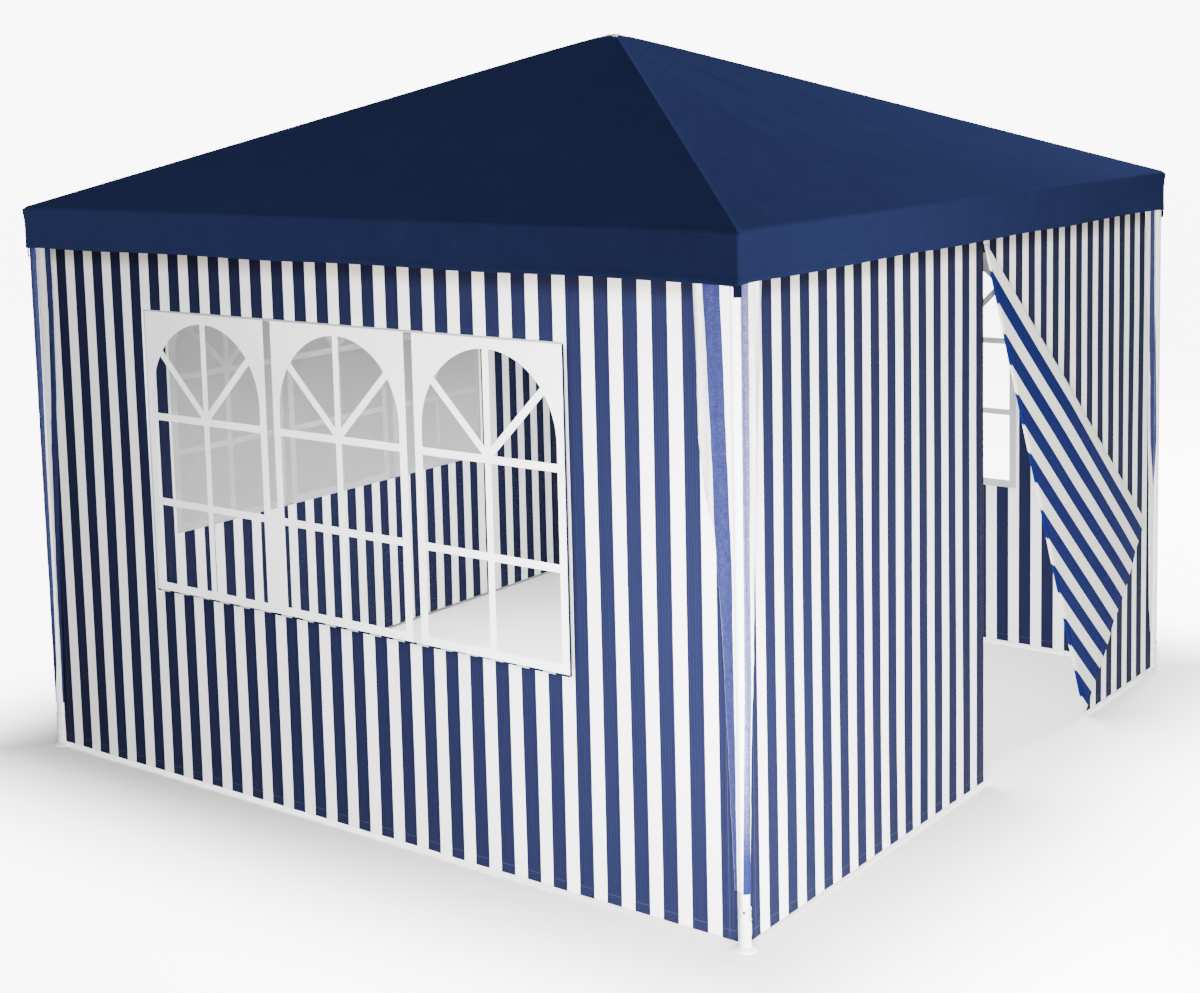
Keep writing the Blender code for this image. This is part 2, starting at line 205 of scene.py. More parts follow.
def turned(name, profile, material, sides=24):
    """A solid of revolution about Z. profile is (radius, height) from the axis to the axis."""
    points = [Vector((0, 0, profile[0][1]))]
    for radius, z in profile[1:-1]:
        for k in range(sides):
            angle = 2 * math.pi * k / sides
            points.append(Vector((radius * math.cos(angle), radius * math.sin(angle), z)))
    points.append(Vector((0, 0, profile[-1][1])))
    rings = len(profile) - 2
    faces = [(0, 1 + (k + 1) % sides, 1 + k) for k in range(sides)]
    for ring in range(rings - 1):
        for k in range(sides):
            a = 1 + ring * sides + k
            b = 1 + ring * sides + (k + 1) % sides
            faces.append((a, b, b + sides, a + sides))
    last = len(points) - 1
    faces += [(last, last - sides + k, last - sides + (k + 1) % sides) for k in range(sides)]
    return mesh_piece(name, points, faces, material)


def hoop(name, profile, material, sides=32):
    """A ring turned about Z. profile is a closed outline of (radius, height)."""
    turns = [2 * math.pi * k / sides for k in range(sides)]
    points = [(radius * math.cos(angle), radius * math.sin(angle), z) for angle in turns for radius, z in profile]
    wide = len(profile)
    faces = [(k * wide + p, (k + 1) % sides * wide + p, (k + 1) % sides * wide + (p + 1) % wide, k * wide + (p + 1) % wide)
             for k in range(sides) for p in range(wide)]
    return mesh_piece(name, points, faces, material)


CORNERS = {"front_left": 0, "front_right": 1, "back_right": 2, "back_left": 3}
SIDES = {"front": 0, "right": 1, "back": 2, "left": 3}
SOCKET_RINGS_Z = (0.1132, 0.0815)
SOCKET_RING = [(FOOT_R - 0.0008, 0.0), (FOOT_R + 0.0012, 0.0006), (FOOT_R + 0.0020, 0.0032), (FOOT_R + 0.0012, 0.0058),
               (FOOT_R - 0.0008, 0.0064)]
SCREW_HEAD = [(0, 0.0), (SCREW_R, 0.0), (SCREW_R, 0.0009), (SCREW_R * 0.82, 0.0019), (SCREW_R * 0.4, 0.0022),
              (SCREW_R * 0.36, 0.0012), (0, 0.0011)]


def quarter(turn):
    """A turn of the plan by whole quarters, which carries the front to the right, back and left."""
    return Matrix.Rotation(turn * math.pi / 2, 4, "Z")


for corner, turn in CORNERS.items():
    screw = turned(f"foot_screw_{corner}", SCREW_HEAD, screw_steel)
    out = quarter(turn) @ Vector((-1, -0.35, 0)).normalized()
    leg = quarter(turn) @ Vector((-WALL_LINE, -WALL_LINE, 0))
    screw.matrix_world = (Matrix.Translation(leg + out * (FOOT_R - 0.0002) + Vector((0, 0, SCREW_Z)))
                          @ out.to_track_quat("Z", "Y").to_matrix().to_4x4())
    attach(screw, "frame_and_sheets")
    for ring, z in (("upper", SOCKET_RINGS_Z[0]), ("lower", SOCKET_RINGS_Z[1])):
        band = hoop(f"foot_ring_{ring}_{corner}", SOCKET_RING, foot_plastic)
        band.matrix_world = Matrix.Translation(leg + Vector((0, 0, z)))
        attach(band, "frame_and_sheets")

# ------------------------------------------------------------------
# Connectors: four corner joints under the eaves and a crown under the
# peak. Welded sockets of the same white steel, in a greyer satin coat.

JOINT_WHITE = (0.66, 0.67, 0.70, 1)
JOINT_DUSTY = (0.42, 0.42, 0.43, 1)

connector_coat = hard_finish("connector coat", JOINT_WHITE, JOINT_DUSTY, 0.45, 500.0, 0.0002)
refinish(connector_coat, "corner_connector", "crown_connector")

# ------------------------------------------------------------------
# Canopy: four gores of navy polyester sewn along the hips, with a
# straight valance all round. It is pulled over the rafters, so each gore
# sags a little between them, and it kept some creases from its bag.

EAVE_HALF = 1.49
EAVE_Z = 1.95
PEAK_Z = 2.52
PEAK_ROUND = 0.03
ROOF_SAG = 0.016
VALANCE_BOTTOM_Z = 1.81
VALANCE_HEM = 0.02
CORNER_ROUND = 0.004
CANOPY_THICK = 0.0012
NAVY = (0.0135, 0.0195, 0.060, 1)
NAVY_WORN = (0.0170, 0.0245, 0.074, 1)
NAVY_DEEP = (0.0100, 0.0148, 0.048, 1)
NAVY_THREAD = (0.022, 0.027, 0.075, 1)
SLOPE = (PEAK_Z - EAVE_Z) / EAVE_HALF

# Woven cloth: over-and-under threads, with uneven thread thickness
weave, given, put = effect(
    "woven cloth",
    [("Vector", "Vector", None), ("Thread", "Float", 0.001)],
    [("Height", "Float"), ("Tone", "Float")],
)
split = wire(weave, "SeparateXYZ", {0: given.outputs["Vector"]})
across = sums(weave, "DIVIDE", split.outputs["X"], given.outputs["Thread"])
along = sums(weave, "DIVIDE", split.outputs["Y"], given.outputs["Thread"])
warp = sums(weave, "SINE", sums(weave, "MULTIPLY", across, math.pi))
weft = sums(weave, "SINE", sums(weave, "MULTIPLY", along, math.pi))
over = sums(weave, "MULTIPLY", warp, weft)
slub = wire(weave, "TexNoise", {"Vector": given.outputs["Vector"], "Scale": 60.0, "Detail": 3.0})
stretched = wire(weave, "Mapping", {"Vector": given.outputs["Vector"], "Scale": (420.0, 9.0, 1.0)})
streak = wire(weave, "TexNoise", {"Vector": stretched.outputs[0], "Scale": 1.0, "Detail": 2.0})
tone = sums(weave, "ADD", sums(weave, "MULTIPLY", slub.outputs["Fac"], 0.5),
            sums(weave, "MULTIPLY", streak.outputs["Fac"], 0.5))
weave.links.new(sums(weave, "ADD", over, tone), put.inputs["Height"])
weave.links.new(tone, put.inputs["Tone"])

# Packing creases: straight faint folds in both directions
crease, given, put = effect(
    "packing creases",
    [("Vector", "Vector", None), ("Every", "Float", 0.32)],
    [("Height", "Float")],
)
bent = wire(crease, "TexNoise", {"Vector": given.outputs["Vector"], "Scale": 2.2, "Detail": 2.0})
shift = sums(crease, "MULTIPLY", bent.outputs["Fac"], 0.05)
split = wire(crease, "SeparateXYZ", {0: given.outputs["Vector"]})
ridges = []
for axis in "XY":
    cell = sums(crease, "DIVIDE", sums(crease, "ADD", split.outputs[axis], shift), given.outputs["Every"])
    from_fold = sums(crease, "ABSOLUTE", sums(crease, "SUBTRACT", sums(crease, "FRACT", cell), 0.5))
    ridges.append(ramp(crease, from_fold, 0.0, 0.035, 1.0, 0.0))
soft = wire(crease, "TexNoise", {"Vector": given.outputs["Vector"], "Scale": 5.0, "Detail": 5.0, "Distortion": 0.6})
folds = sums(crease, "MAXIMUM", ridges[0], ridges[1])
crease.links.new(sums(crease, "ADD", sums(crease, "MULTIPLY", folds, 0.06), soft.outputs["Fac"]), put.inputs["Height"])

# Stitch line: dashes of thread along a line at a given distance
stitch, given, put = effect(
    "stitch line",
    [("Distance", "Float", 0.0), ("Along", "Float", 0.0), ("Step", "Float", 0.0055)],
    [("Mask", "Float")],
)
on_line = ramp(stitch, sums(stitch, "ABSOLUTE", given.outputs["Distance"]), 0.0005, 0.0009, 1.0, 0.0)
beat = sums(stitch, "FRACT", sums(stitch, "DIVIDE", given.outputs["Along"], given.outputs["Step"]))
dash = ramp(stitch, sums(stitch, "ABSOLUTE", sums(stitch, "SUBTRACT", beat, 0.5)), 0.30, 0.36, 1.0, 0.0)
stitch.links.new(sums(stitch, "MULTIPLY", on_line, dash), put.inputs["Mask"])

canopy_cloth, tree, shader = material_with("navy canopy cloth", Specular_IOR_Level=0.0)
flat_cloth = wire(tree, "UVMap", uv_map="flat_cloth").outputs[0]
woven = placed(tree, weave, {"Vector": flat_cloth, "Thread": 0.0011})
creased = placed(tree, crease, {"Vector": flat_cloth, "Every": 0.37})
split = wire(tree, "SeparateXYZ", {0: flat_cloth})
side_way = sums(tree, "ABSOLUTE", split.outputs["X"])
up_roof = sums(tree, "MAXIMUM", split.outputs["Y"], 0.0)
from_hip = sums(tree, "SUBTRACT", sums(tree, "SUBTRACT", EAVE_HALF, side_way),
                sums(tree, "MULTIPLY", up_roof, EAVE_HALF / math.hypot(EAVE_HALF, PEAK_Z - EAVE_Z)))
stitches = 0.0
for distance, step_along in (
    (sums(tree, "SUBTRACT", from_hip, 0.006), split.outputs["Y"]),
    (sums(tree, "SUBTRACT", from_hip, 0.014), split.outputs["Y"]),
    (sums(tree, "ADD", split.outputs["Y"], 0.012), split.outputs["X"]),
    (sums(tree, "ADD", split.outputs["Y"], EAVE_Z - VALANCE_BOTTOM_Z - VALANCE_HEM), split.outputs["X"]),
):
    line = placed(tree, stitch, {"Distance": distance, "Along": step_along}).outputs["Mask"]
    stitches = sums(tree, "MAXIMUM", stitches, line)
worn = sums(tree, "MULTIPLY", ramp(tree, creased.outputs["Height"], 0.45, 0.85), 0.5)
cloth_colour = mixed(tree, worn, NAVY, NAVY_WORN)
toned = mixed(tree, ramp(tree, woven.outputs["Tone"], 0.3, 0.7, 0.0, 0.35), cloth_colour, NAVY_DEEP)
tree.links.new(mixed(tree, sums(tree, "MULTIPLY", stitches, 0.7), toned, NAVY_THREAD),
               shader.inputs["Base Color"])
tree.links.new(ramp(tree, woven.outputs["Tone"], 0.2, 0.8, 0.62, 0.82), shader.inputs["Roughness"])
bump = wire(tree, "Bump", {"Height": creased.outputs["Height"], "Strength": 0.35, "Distance": 0.012})
bump = wire(tree, "Bump", {"Height": woven.outputs["Height"], "Strength": 0.3, "Distance": 0.0003,
                           "Normal": bump.outputs["Normal"]})
bump = wire(tree, "Bump", {"Height": stitches, "Strength": 0.6, "Distance": 0.0008, "Normal": bump.outputs["Normal"]})
tree.links.new(bump.outputs["Normal"], shader.inputs["Normal"])


def gore_columns():
    """Places across one gore from -1 to 1, closer together at the corners and hips."""
    near = [1 - d / EAVE_HALF for d in (0, 0.001, 0.002, 0.003, 0.004, 0.009, 0.02, 0.032, 0.05, 0.08)]
    middle = [-0.9 + 1.8 * k / 40 for k in range(41)]
    return sorted({round(v, 5) for v in [-n for n in near] + middle + near})


def rounded_corner(x, y):
    """The valance turns its corner on a small radius."""
    side = EAVE_HALF - abs(x)
    if side >= CORNER_ROUND or y > CORNER_ROUND - EAVE_HALF:
        return x, y
    angle = math.radians(45 + 45 * side / CORNER_ROUND)
    centre = EAVE_HALF - CORNER_ROUND
    reach = CORNER_ROUND + (-y - EAVE_HALF)
    return math.copysign(centre + reach * math.cos(angle), x), -(centre + reach * math.sin(angle))


def roof_point(side, v, t):
    """A point of one gore: v across from hip to hip, t from the peak to the eave."""
    half = EAVE_HALF * t
    x, y = v * half, -half
    z = PEAK_Z - SLOPE * math.hypot(half, PEAK_ROUND * (1 - t ** 3))
    sag = ROOF_SAG * math.sin(math.pi * t) * (1 - v * v) ** 0.8
    ripple = noise.noise(Vector((x * 2.2 + side * 7, y * 2.2, 0.3))) * 0.006 * (1 - v * v) * math.sin(math.pi * t)
    pull = noise.noise(Vector((v * 9 + side * 5, t * 1.2, 2.0))) * 0.003 * (1 - v * v) * t * (1 - t) * 4
    hip = (1 - abs(v)) * half
    seam = 0.0014 * math.exp(-((hip / 0.013) ** 4)) * min(1, t * 8)
    return Vector((x, y, z - sag + ripple + pull + seam))


def valance_point(side, v, drop):
    """A point of the valance, drop metres below the eave line."""
    free = drop / (EAVE_Z - VALANCE_BOTTOM_Z)
    along = v * EAVE_HALF
    wave = math.sin(along * 13.7 + side * 1.9) + 0.6 * math.sin(along * 29 + side * 4.1 + 1)
    wave = 0.0016 * wave * free * (1 - v ** 8)
    corner = math.exp(-(((1 - abs(v)) * EAVE_HALF / 0.05) ** 2))
    out = wave + 0.007 * corner * math.exp(-((drop / 0.035) ** 2)) + 0.0012 * free
    if drop > EAVE_Z - VALANCE_BOTTOM_Z - VALANCE_HEM:
        out += 0.0007
    x, y = rounded_corner(along, -EAVE_HALF - out)
    lift = 0.0018 * math.sin(along * 7.3 + side * 2.3) * free
    return Vector((x, y, EAVE_Z - drop + lift - 0.004 * corner * free))


DROPS = [0.006, 0.011, 0.013, 0.022, 0.036, 0.055, 0.075, 0.095, 0.112, 0.1192, 0.1205, 0.13, 0.14]
ROOF_ROWS = [0.0, 0.008, 0.018, 0.03, 0.045] + [0.06 + 0.93 * k / 56 for k in range(57)] + [0.9945]


def canopy_side(side):
    """Rows of points and flat-cloth places of one gore with its length of valance."""
    columns = gore_columns()
    slant = math.hypot(EAVE_HALF, PEAK_Z - EAVE_Z)
    points, flat = [], []
    for t in ROOF_ROWS:
        points += [roof_point(side, v, t) for v in columns]
        flat += [(v * EAVE_HALF * t, slant * (1 - t)) for v in columns]
    edge = [(EAVE_HALF - 0.0035, EAVE_Z + 0.0006), (EAVE_HALF - 0.0008, EAVE_Z - 0.002)]
    for half, z in edge:
        for v in columns:
            x, y = rounded_corner(v * half, -half)
            points.append(Vector((x, y, z)))
            flat.append((v * half, z - EAVE_Z))
    for drop in DROPS:
        points += [valance_point(side, v, drop) for v in columns]
        flat += [(v * EAVE_HALF, -drop) for v in columns]
    return points, flat, len(columns)


def grid_faces(rows, columns, start=0):
    """Quads between the rows of a grid of points."""
    return [(start + r * columns + c, start + (r + 1) * columns + c,
             start + (r + 1) * columns + c + 1, start + r * columns + c + 1)
            for r in range(rows - 1) for c in range(columns - 1)]


def thicken(piece, thick, offset=-1.0):
    """Gives a sheet its cloth's thickness, inwards from the modelled face."""
    shell = piece.modifiers.new("cloth thickness", "SOLIDIFY")
    shell.thickness = thick
    shell.offset = offset
    shell.use_even_offset = True
    return piece


def welded(piece, gap=0.000002):
    """Joins the points where edges of the same cloth meet."""
    weld = piece.modifiers.new("sewn edges", "WELD")
    weld.merge_threshold = gap
    return piece


points, faces, flat = [], [], []
for side, turn in SIDES.items():
    side_points, side_flat, columns = canopy_side(turn)
    faces += grid_faces(len(side_points) // columns, columns, len(points))
    points += [quarter(turn) @ p for p in side_points]
    flat += side_flat
canopy = mesh_piece("canopy", points, faces, canopy_cloth, flat)
thicken(welded(canopy), CANOPY_THICK)
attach(canopy, "frame_and_sheets")
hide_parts(*[f"{kind}_{side}" for kind in ("roof_panel", "valance") for side in SIDES])

# ------------------------------------------------------------------
# Window walls: striped woven sheet on three sides, hung from the rails
# behind the valance and tied to the legs. Each is hemmed all round, with
# a wide opening whose edge is turned back and sewn to a clear film.

STRIPE = 0.098
BLUE_HALF = 0.265
WALL_HALF = 14.765 * STRIPE
HEM_Z = 0.015
WALL_TOP_Z = 1.9222
CORNER_TOP_Z = 1.919
CORNER_FROM = 1.389
WINDOW_HALF = 0.892
WINDOW_Z = (0.66, 1.617)
SHEET_THICK = 0.0009
WALL_HEM = 0.028
# Painted shadow: a brownish band darkens the walls just under the valance, standing in for the valance's shadow.
VALANCE_SHADOW_Z = (1.738, 1.800)
VALANCE_SHADOW_TINT = (0.50, 0.43, 0.39, 1)
STRIPE_BLUE = (0.0062, 0.0080, 0.029, 1)
STRIPE_BLUE_THREAD = (0.016, 0.018, 0.044, 1)
STRIPE_WHITE = (0.88, 0.89, 0.87, 1)
STRIPE_WHITE_THREAD = (0.80, 0.81, 0.83, 1)

# Woven stripes: coloured bands with fine thread lines along them
stripes, given, put = effect(
    "woven stripes",
    [("Vector", "Vector", None), ("Pitch", "Float", STRIPE), ("Half", "Float", BLUE_HALF)],
    [("Blue", "Float"), ("Lines", "Float")],
)
split = wire(stripes, "SeparateXYZ", {0: given.outputs["Vector"]})
ragged = wire(stripes, "TexNoise", {"Vector": given.outputs["Vector"], "Scale": 260.0, "Detail": 1.0})
shift = sums(stripes, "MULTIPLY", sums(stripes, "SUBTRACT", ragged.outputs["Fac"], 0.5), 0.0008)
phase = sums(stripes, "DIVIDE", sums(stripes, "ADD", split.outputs["X"], shift), given.outputs["Pitch"])
from_middle = sums(stripes, "ABSOLUTE", sums(stripes, "SUBTRACT", sums(stripes, "FRACT", phase), 0.5))
edge = sums(stripes, "SUBTRACT", given.outputs["Half"], from_middle)
stripes.links.new(ramp(stripes, edge, -0.004, 0.004), put.inputs["Blue"])
lines = sums(stripes, "SINE", sums(stripes, "MULTIPLY", phase, 2 * math.pi * 10))
long_noise = wire(stripes, "Mapping", {"Vector": given.outputs["Vector"], "Scale": (300.0, 1.5, 1.0)})
threads = wire(stripes, "TexNoise", {"Vector": long_noise.outputs[0], "Scale": 1.0, "Detail": 3.0})
line_mask = sums(stripes, "ADD", sums(stripes, "MULTIPLY", ramp(stripes, lines, 0.2, 0.95), 0.5),
                 sums(stripes, "MULTIPLY", threads.outputs["Fac"], 0.5))
stripes.links.new(line_mask, put.inputs["Lines"])


def striped_sheet(name, blue, blue_thread, white, white_thread, speckle, hems=True):
    """Woven striped sheet, printed through. speckle is how much the tape weave shows."""
    made, tree, shader = material_with(name, Specular_IOR_Level=0.02)
    place = wire(tree, "UVMap", uv_map="flat_cloth").outputs[0]
    band = placed(tree, stripes, {"Vector": place})
    woven = placed(tree, weave, {"Vector": place, "Thread": 0.0026})
    creased = placed(tree, crease, {"Vector": place, "Every": 0.48})
    lines = sums(tree, "MULTIPLY", band.outputs["Lines"], 0.75)
    dark = mixed(tree, lines, blue, blue_thread)
    pale = mixed(tree, sums(tree, "MULTIPLY", band.outputs["Lines"], 0.6), white, white_thread)
    colour = mixed(tree, band.outputs["Blue"], pale, dark)
    tape = ramp(tree, woven.outputs["Height"], -0.2, 1.6, 1.0 - speckle, 1.0)
    colour = mixed(tree, 1.0, colour, wire(tree, "CombineColor", {0: tape, 1: tape, 2: tape}).outputs[0], "MULTIPLY")
    split = wire(tree, "SeparateXYZ", {0: place})
    rise = creased.outputs["Height"]
    if hems:
        side_way = sums(tree, "ABSOLUTE", split.outputs["X"])
        seams = 0.0
        for distance, along in (
            (sums(tree, "SUBTRACT", split.outputs["Y"], HEM_Z + WALL_HEM), split.outputs["X"]),
            (sums(tree, "SUBTRACT", side_way, WALL_HALF - WALL_HEM), split.outputs["Y"]),
        ):
            line = placed(tree, stitch, {"Distance": distance, "Along": along}).outputs["Mask"]
            seams = sums(tree, "MAXIMUM", seams, line)
        colour = mixed(tree, sums(tree, "MULTIPLY", seams, 0.12), colour, (0.35, 0.36, 0.42, 1))
        # Painted shadow under the valance: the sheet's colour is multiplied by a brownish tint near its top edge.
        valance_shadow = ramp(tree, split.outputs["Y"], *VALANCE_SHADOW_Z, 0.0, 0.9)
        colour = mixed(tree, valance_shadow, colour, VALANCE_SHADOW_TINT, "MULTIPLY")
        rise = sums(tree, "SUBTRACT", rise, sums(tree, "MULTIPLY", seams, 0.1))
    tree.links.new(colour, shader.inputs["Base Color"])
    tree.links.new(ramp(tree, woven.outputs["Tone"], 0.2, 0.8, 0.48, 0.66), shader.inputs["Roughness"])
    bump = wire(tree, "Bump", {"Height": rise, "Strength": 0.22, "Distance": 0.01})
    bump = wire(tree, "Bump", {"Height": woven.outputs["Height"], "Strength": 0.35, "Distance": 0.0004,
                               "Normal": bump.outputs["Normal"]})
    tree.links.new(bump.outputs["Normal"], shader.inputs["Normal"])
    return made


wall_cloth = striped_sheet("striped wall sheet", STRIPE_BLUE, STRIPE_BLUE_THREAD, STRIPE_WHITE,
                           STRIPE_WHITE_THREAD, 0.12)


def steps(low, high, most):
    """Even places from low to high, at most this far apart, both ends among them."""
    count = max(1, math.ceil((high - low) / most - 1e-9))
    return [low + (high - low) * k / count for k in range(count + 1)]


def spaced(stops, most):
    """Places through all the stops."""
    found = [stops[0]]
    for low, high in zip(stops, stops[1:]):
        found += steps(low, high, most)[1:]
    return found


def wall_out(seed, u, z):
    """How far a hanging sheet stands out of its plane: slow waves that die out at the tied edges."""
    tied = min(1, (WALL_HALF - abs(u)) / 0.25) ** 0.7 if abs(u) < WALL_HALF else 0
    loose = min(1, (WALL_TOP_Z - z) / 0.7)
    wave = noise.noise(Vector((u * 3.1 + seed * 11, z * 0.7, seed))) * 0.0042
    wave += noise.noise(Vector((u * 9 + seed * 3, z * 1.6, seed + 4))) * 0.0018
    hem = 0.0006 if z < HEM_Z + WALL_HEM or abs(u) > WALL_HALF - WALL_HEM else 0
    return wave * tied * loose + hem


def wall_top(u):
    """The top edge, cut a little lower beside the corner connectors."""
    return CORNER_TOP_Z if abs(u) > CORNER_FROM else WALL_TOP_Z


def sheet_piece(name, us, zs, point, material, hole=None, flat=None):
    """A sheet of cells between columns us and rows zs, without those that hole names."""
    points = [point(u, z) for z in zs for u in us]
    places = [(flat or (lambda u, z: (u, z)))(u, z) for z in zs for u in us]
    faces = []
    for r, (low, high) in enumerate(zip(zs, zs[1:])):
        for c, (left, right) in enumerate(zip(us, us[1:])):
            if not (hole and hole((left + right) / 2, (low + high) / 2)):
                a = r * len(us) + c
                faces.append((a, a + 1, a + 1 + len(us), a + len(us)))
    used = sorted({k for f in faces for k in f})
    number = {k: n for n, k in enumerate(used)}
    faces = [tuple(number[k] for k in f) for f in faces]
    made = mesh_piece(name, [points[k] for k in used], faces, material, [places[k] for k in used])
    return thicken(made, SHEET_THICK, 0.0)


def in_window(u, z):
    return abs(u) < WINDOW_HALF and WINDOW_Z[0] < z < WINDOW_Z[1]


wall_columns = spaced([-WALL_HALF, -WALL_HALF + WALL_HEM, -CORNER_FROM, -WINDOW_HALF, WINDOW_HALF, CORNER_FROM,
                       WALL_HALF - WALL_HEM, WALL_HALF], 0.03)
wall_rows = spaced([HEM_Z, HEM_Z + 0.004, HEM_Z + WALL_HEM, WINDOW_Z[0], WINDOW_Z[1], WALL_TOP_Z], 0.035)
WINDOW_SIDES = ("right", "back", "left")
for side in WINDOW_SIDES:
    turn = SIDES[side]

    def wall_point(u, z):
        return quarter(turn) @ Vector((u, -WALL_LINE - wall_out(turn, u, z), min(z, wall_top(u))))

    wall = sheet_piece(f"striped_wall_{side}", wall_columns, wall_rows, wall_point, wall_cloth, in_window)
    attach(wall, "frame_and_sheets")
    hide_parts(f"window_wall_{side}")

# ------------------------------------------------------------------
# Windows: a clear vinyl film behind each opening, with white vinyl bars printed
# on it as three arched lights. The cloth's edge is folded round the film and stitched,
# which leaves a thin striped binding, darkened as a painted shadow line round the opening.

LIGHT_WIDE = 0.572
LIGHT_GAP = 0.034
ARCH_R = 0.257
ARCH_SPRING_Z = 1.327
LIGHT_SILL_Z = 0.69
HUB_Z = 1.268
BAR_HALF = 0.0118
BAR_UPPER_Z = 1.26
BAR_LOWER_Z = 0.97
PRINT_THICK = 0.0005
FILM_THICK = 0.0006
BINDING_HALF = 0.0036
PRINT_WHITE = (0.93, 0.915, 0.95, 1)
PRINT_SHADE = (0.84, 0.83, 0.87, 1)
# Painted shade: the bars' faces that look into the tent are coloured grey.
PRINT_INSIDE_PAINTED_SHADE = (0.54, 0.54, 0.56, 1)

clear_film, tree, shader = material_with("clear vinyl film", Specular_IOR_Level=0.08)
place = wire(tree, "UVMap", uv_map="flat_cloth").outputs[0]
creased = placed(tree, crease, {"Vector": place, "Every": 0.3})
haze = wire(tree, "TexNoise", {"Vector": place, "Scale": 3.5, "Detail": 6.0, "Roughness": 0.7})
hazed = ramp(tree, haze.outputs["Fac"], 0.3, 0.75)
tree.links.new(mixed(tree, hazed, (0.0012, 0.0012, 0.0013, 1), (0.0030, 0.0030, 0.0034, 1)), shader.inputs["Base Color"])
tree.links.new(ramp(tree, haze.outputs["Fac"], 0.3, 0.75, 0.08, 0.12), shader.inputs["Alpha"])
tree.links.new(ramp(tree, haze.outputs["Fac"], 0.3, 0.75, 0.14, 0.30), shader.inputs["Roughness"])
bump = wire(tree, "Bump", {"Height": creased.outputs["Height"], "Strength": 0.3, "Distance": 0.004})
tree.links.new(bump.outputs["Normal"], shader.inputs["Normal"])

window_print, tree, shader = material_with("printed white vinyl", Specular_IOR_Level=0.45)
place = wire(tree, "TexCoord").outputs["Object"]
skin = placed(tree, grain, {"Vector": place, "Scale": 350.0, "Rough": 0.42, "Spread": 0.2})
mottle = wire(tree, "TexNoise", {"Vector": place, "Scale": 4.0, "Detail": 5.0})
outside = wire(tree, "VectorMath", {0: wire(tree, "NewGeometry").outputs["True Normal"],
                                    1: wire(tree, "VectorMath", {0: place, 1: (1, 1, 0)}, operation="MULTIPLY").outputs[0]},
               operation="DOT_PRODUCT").outputs["Value"]
printed = mixed(tree, ramp(tree, mottle.outputs["Fac"], 0.35, 0.7), PRINT_WHITE, PRINT_SHADE)
# The inward faces get the grey painted shade; the outward faces keep the printed white.
tree.links.new(mixed(tree, sums(tree, "LESS_THAN", outside, 0.0), printed, PRINT_INSIDE_PAINTED_SHADE), shader.inputs["Base Color"])
tree.links.new(skin.outputs["Roughness"], shader.inputs["Roughness"])
bump = wire(tree, "Bump", {"Height": skin.outputs["Height"], "Strength": 0.2, "Distance": 0.0003})
tree.links.new(bump.outputs["Normal"], shader.inputs["Normal"])

# Painted shadow line: the binding's blue is near black and its white is grey.
binding_cloth_painted_shadow = striped_sheet("window binding, painted shadow line", (0.003, 0.004, 0.018, 1), (0.004, 0.006, 0.026, 1),
                              (0.40, 0.41, 0.43, 1), (0.34, 0.35, 0.37, 1), 0.2, hems=False)


def cut(outline, point, normal):
    """The part of a convex outline on the side of a line that normal points to."""
    kept = []
    for here, there in zip(outline, outline[1:] + outline[:1]):
        a, b = (here - point).dot(normal), (there - point).dot(normal)
        if a >= 0:
            kept.append(here)
        if a * b < 0:
            kept.append(here.lerp(there, a / (a - b)))
    return kept


def light_panes():
    """The clear panes of one arched light, about its own middle."""
    arch = [Vector((ARCH_R * math.cos(a), ARCH_SPRING_Z + ARCH_R * math.sin(a)))
            for a in steps(0, math.pi, math.pi / 40)]
    opening = [Vector((-ARCH_R, LIGHT_SILL_Z)), Vector((ARCH_R, LIGHT_SILL_Z)), *arch]
    right = cut(opening, Vector((BAR_HALF, 0)), Vector((1, 0)))
    up, down = Vector((0, 1)), Vector((0, -1))
    bottom = cut(right, Vector((0, BAR_LOWER_Z - BAR_HALF)), down)
    middle = cut(cut(right, Vector((0, BAR_LOWER_Z + BAR_HALF)), up), Vector((0, BAR_UPPER_Z - BAR_HALF)), down)
    top = cut(right, Vector((0, BAR_UPPER_Z + BAR_HALF)), up)
    slant = Vector((1, -1)).normalized()
    hub = Vector((0, HUB_Z))
    outer = cut(top, hub + slant * BAR_HALF, slant)
    inner = cut(top, hub - slant * BAR_HALF, -slant)
    panes = [bottom, middle, outer, inner]
    return panes + [[Vector((-p.x, p.y)) for p in reversed(pane)] for pane in panes]


def flat_shape(name, outlines, thick):
    """A flat plate in the XZ plane, filled between its outlines, made from a 2D curve."""
    curve = bpy.data.curves.new(name, "CURVE")
    curve.dimensions = "2D"
    curve.fill_mode = "BOTH"
    curve.extrude = thick / 2
    for outline in outlines:
        spline = curve.splines.new("POLY")
        spline.points.add(len(outline) - 1)
        for k, p in enumerate(outline):
            spline.points[k].co = (p.x, p.y, 0, 1)
        spline.use_cyclic_u = True
    made = bpy.data.objects.new(name, curve)
    bpy.context.scene.collection.objects.link(made)
    mesh = bpy.data.meshes.new_from_object(made.evaluated_get(bpy.context.evaluated_depsgraph_get()))
    bpy.data.objects.remove(made)
    mesh.transform(Matrix.Rotation(math.pi / 2, 4, "X"))
    return mesh


outlines = []
for k in (-1, 0, 1):
    middle = k * (LIGHT_WIDE + LIGHT_GAP)
    edges = [(-LIGHT_WIDE / 2, WINDOW_Z[0]), (LIGHT_WIDE / 2, WINDOW_Z[0]), (LIGHT_WIDE / 2, WINDOW_Z[1]),
             (-LIGHT_WIDE / 2, WINDOW_Z[1])]
    for outline in [[Vector(e) for e in edges], *light_panes()]:
        outlines.append([p + Vector((middle, 0)) for p in outline])
bars = flat_shape("window_print", outlines, PRINT_THICK)
bars.materials.clear()
bars.materials.append(window_print)
bars.transform(Matrix.Translation((0, -WALL_LINE - FILM_THICK / 2 - PRINT_THICK / 2 - 0.0002, 0)))


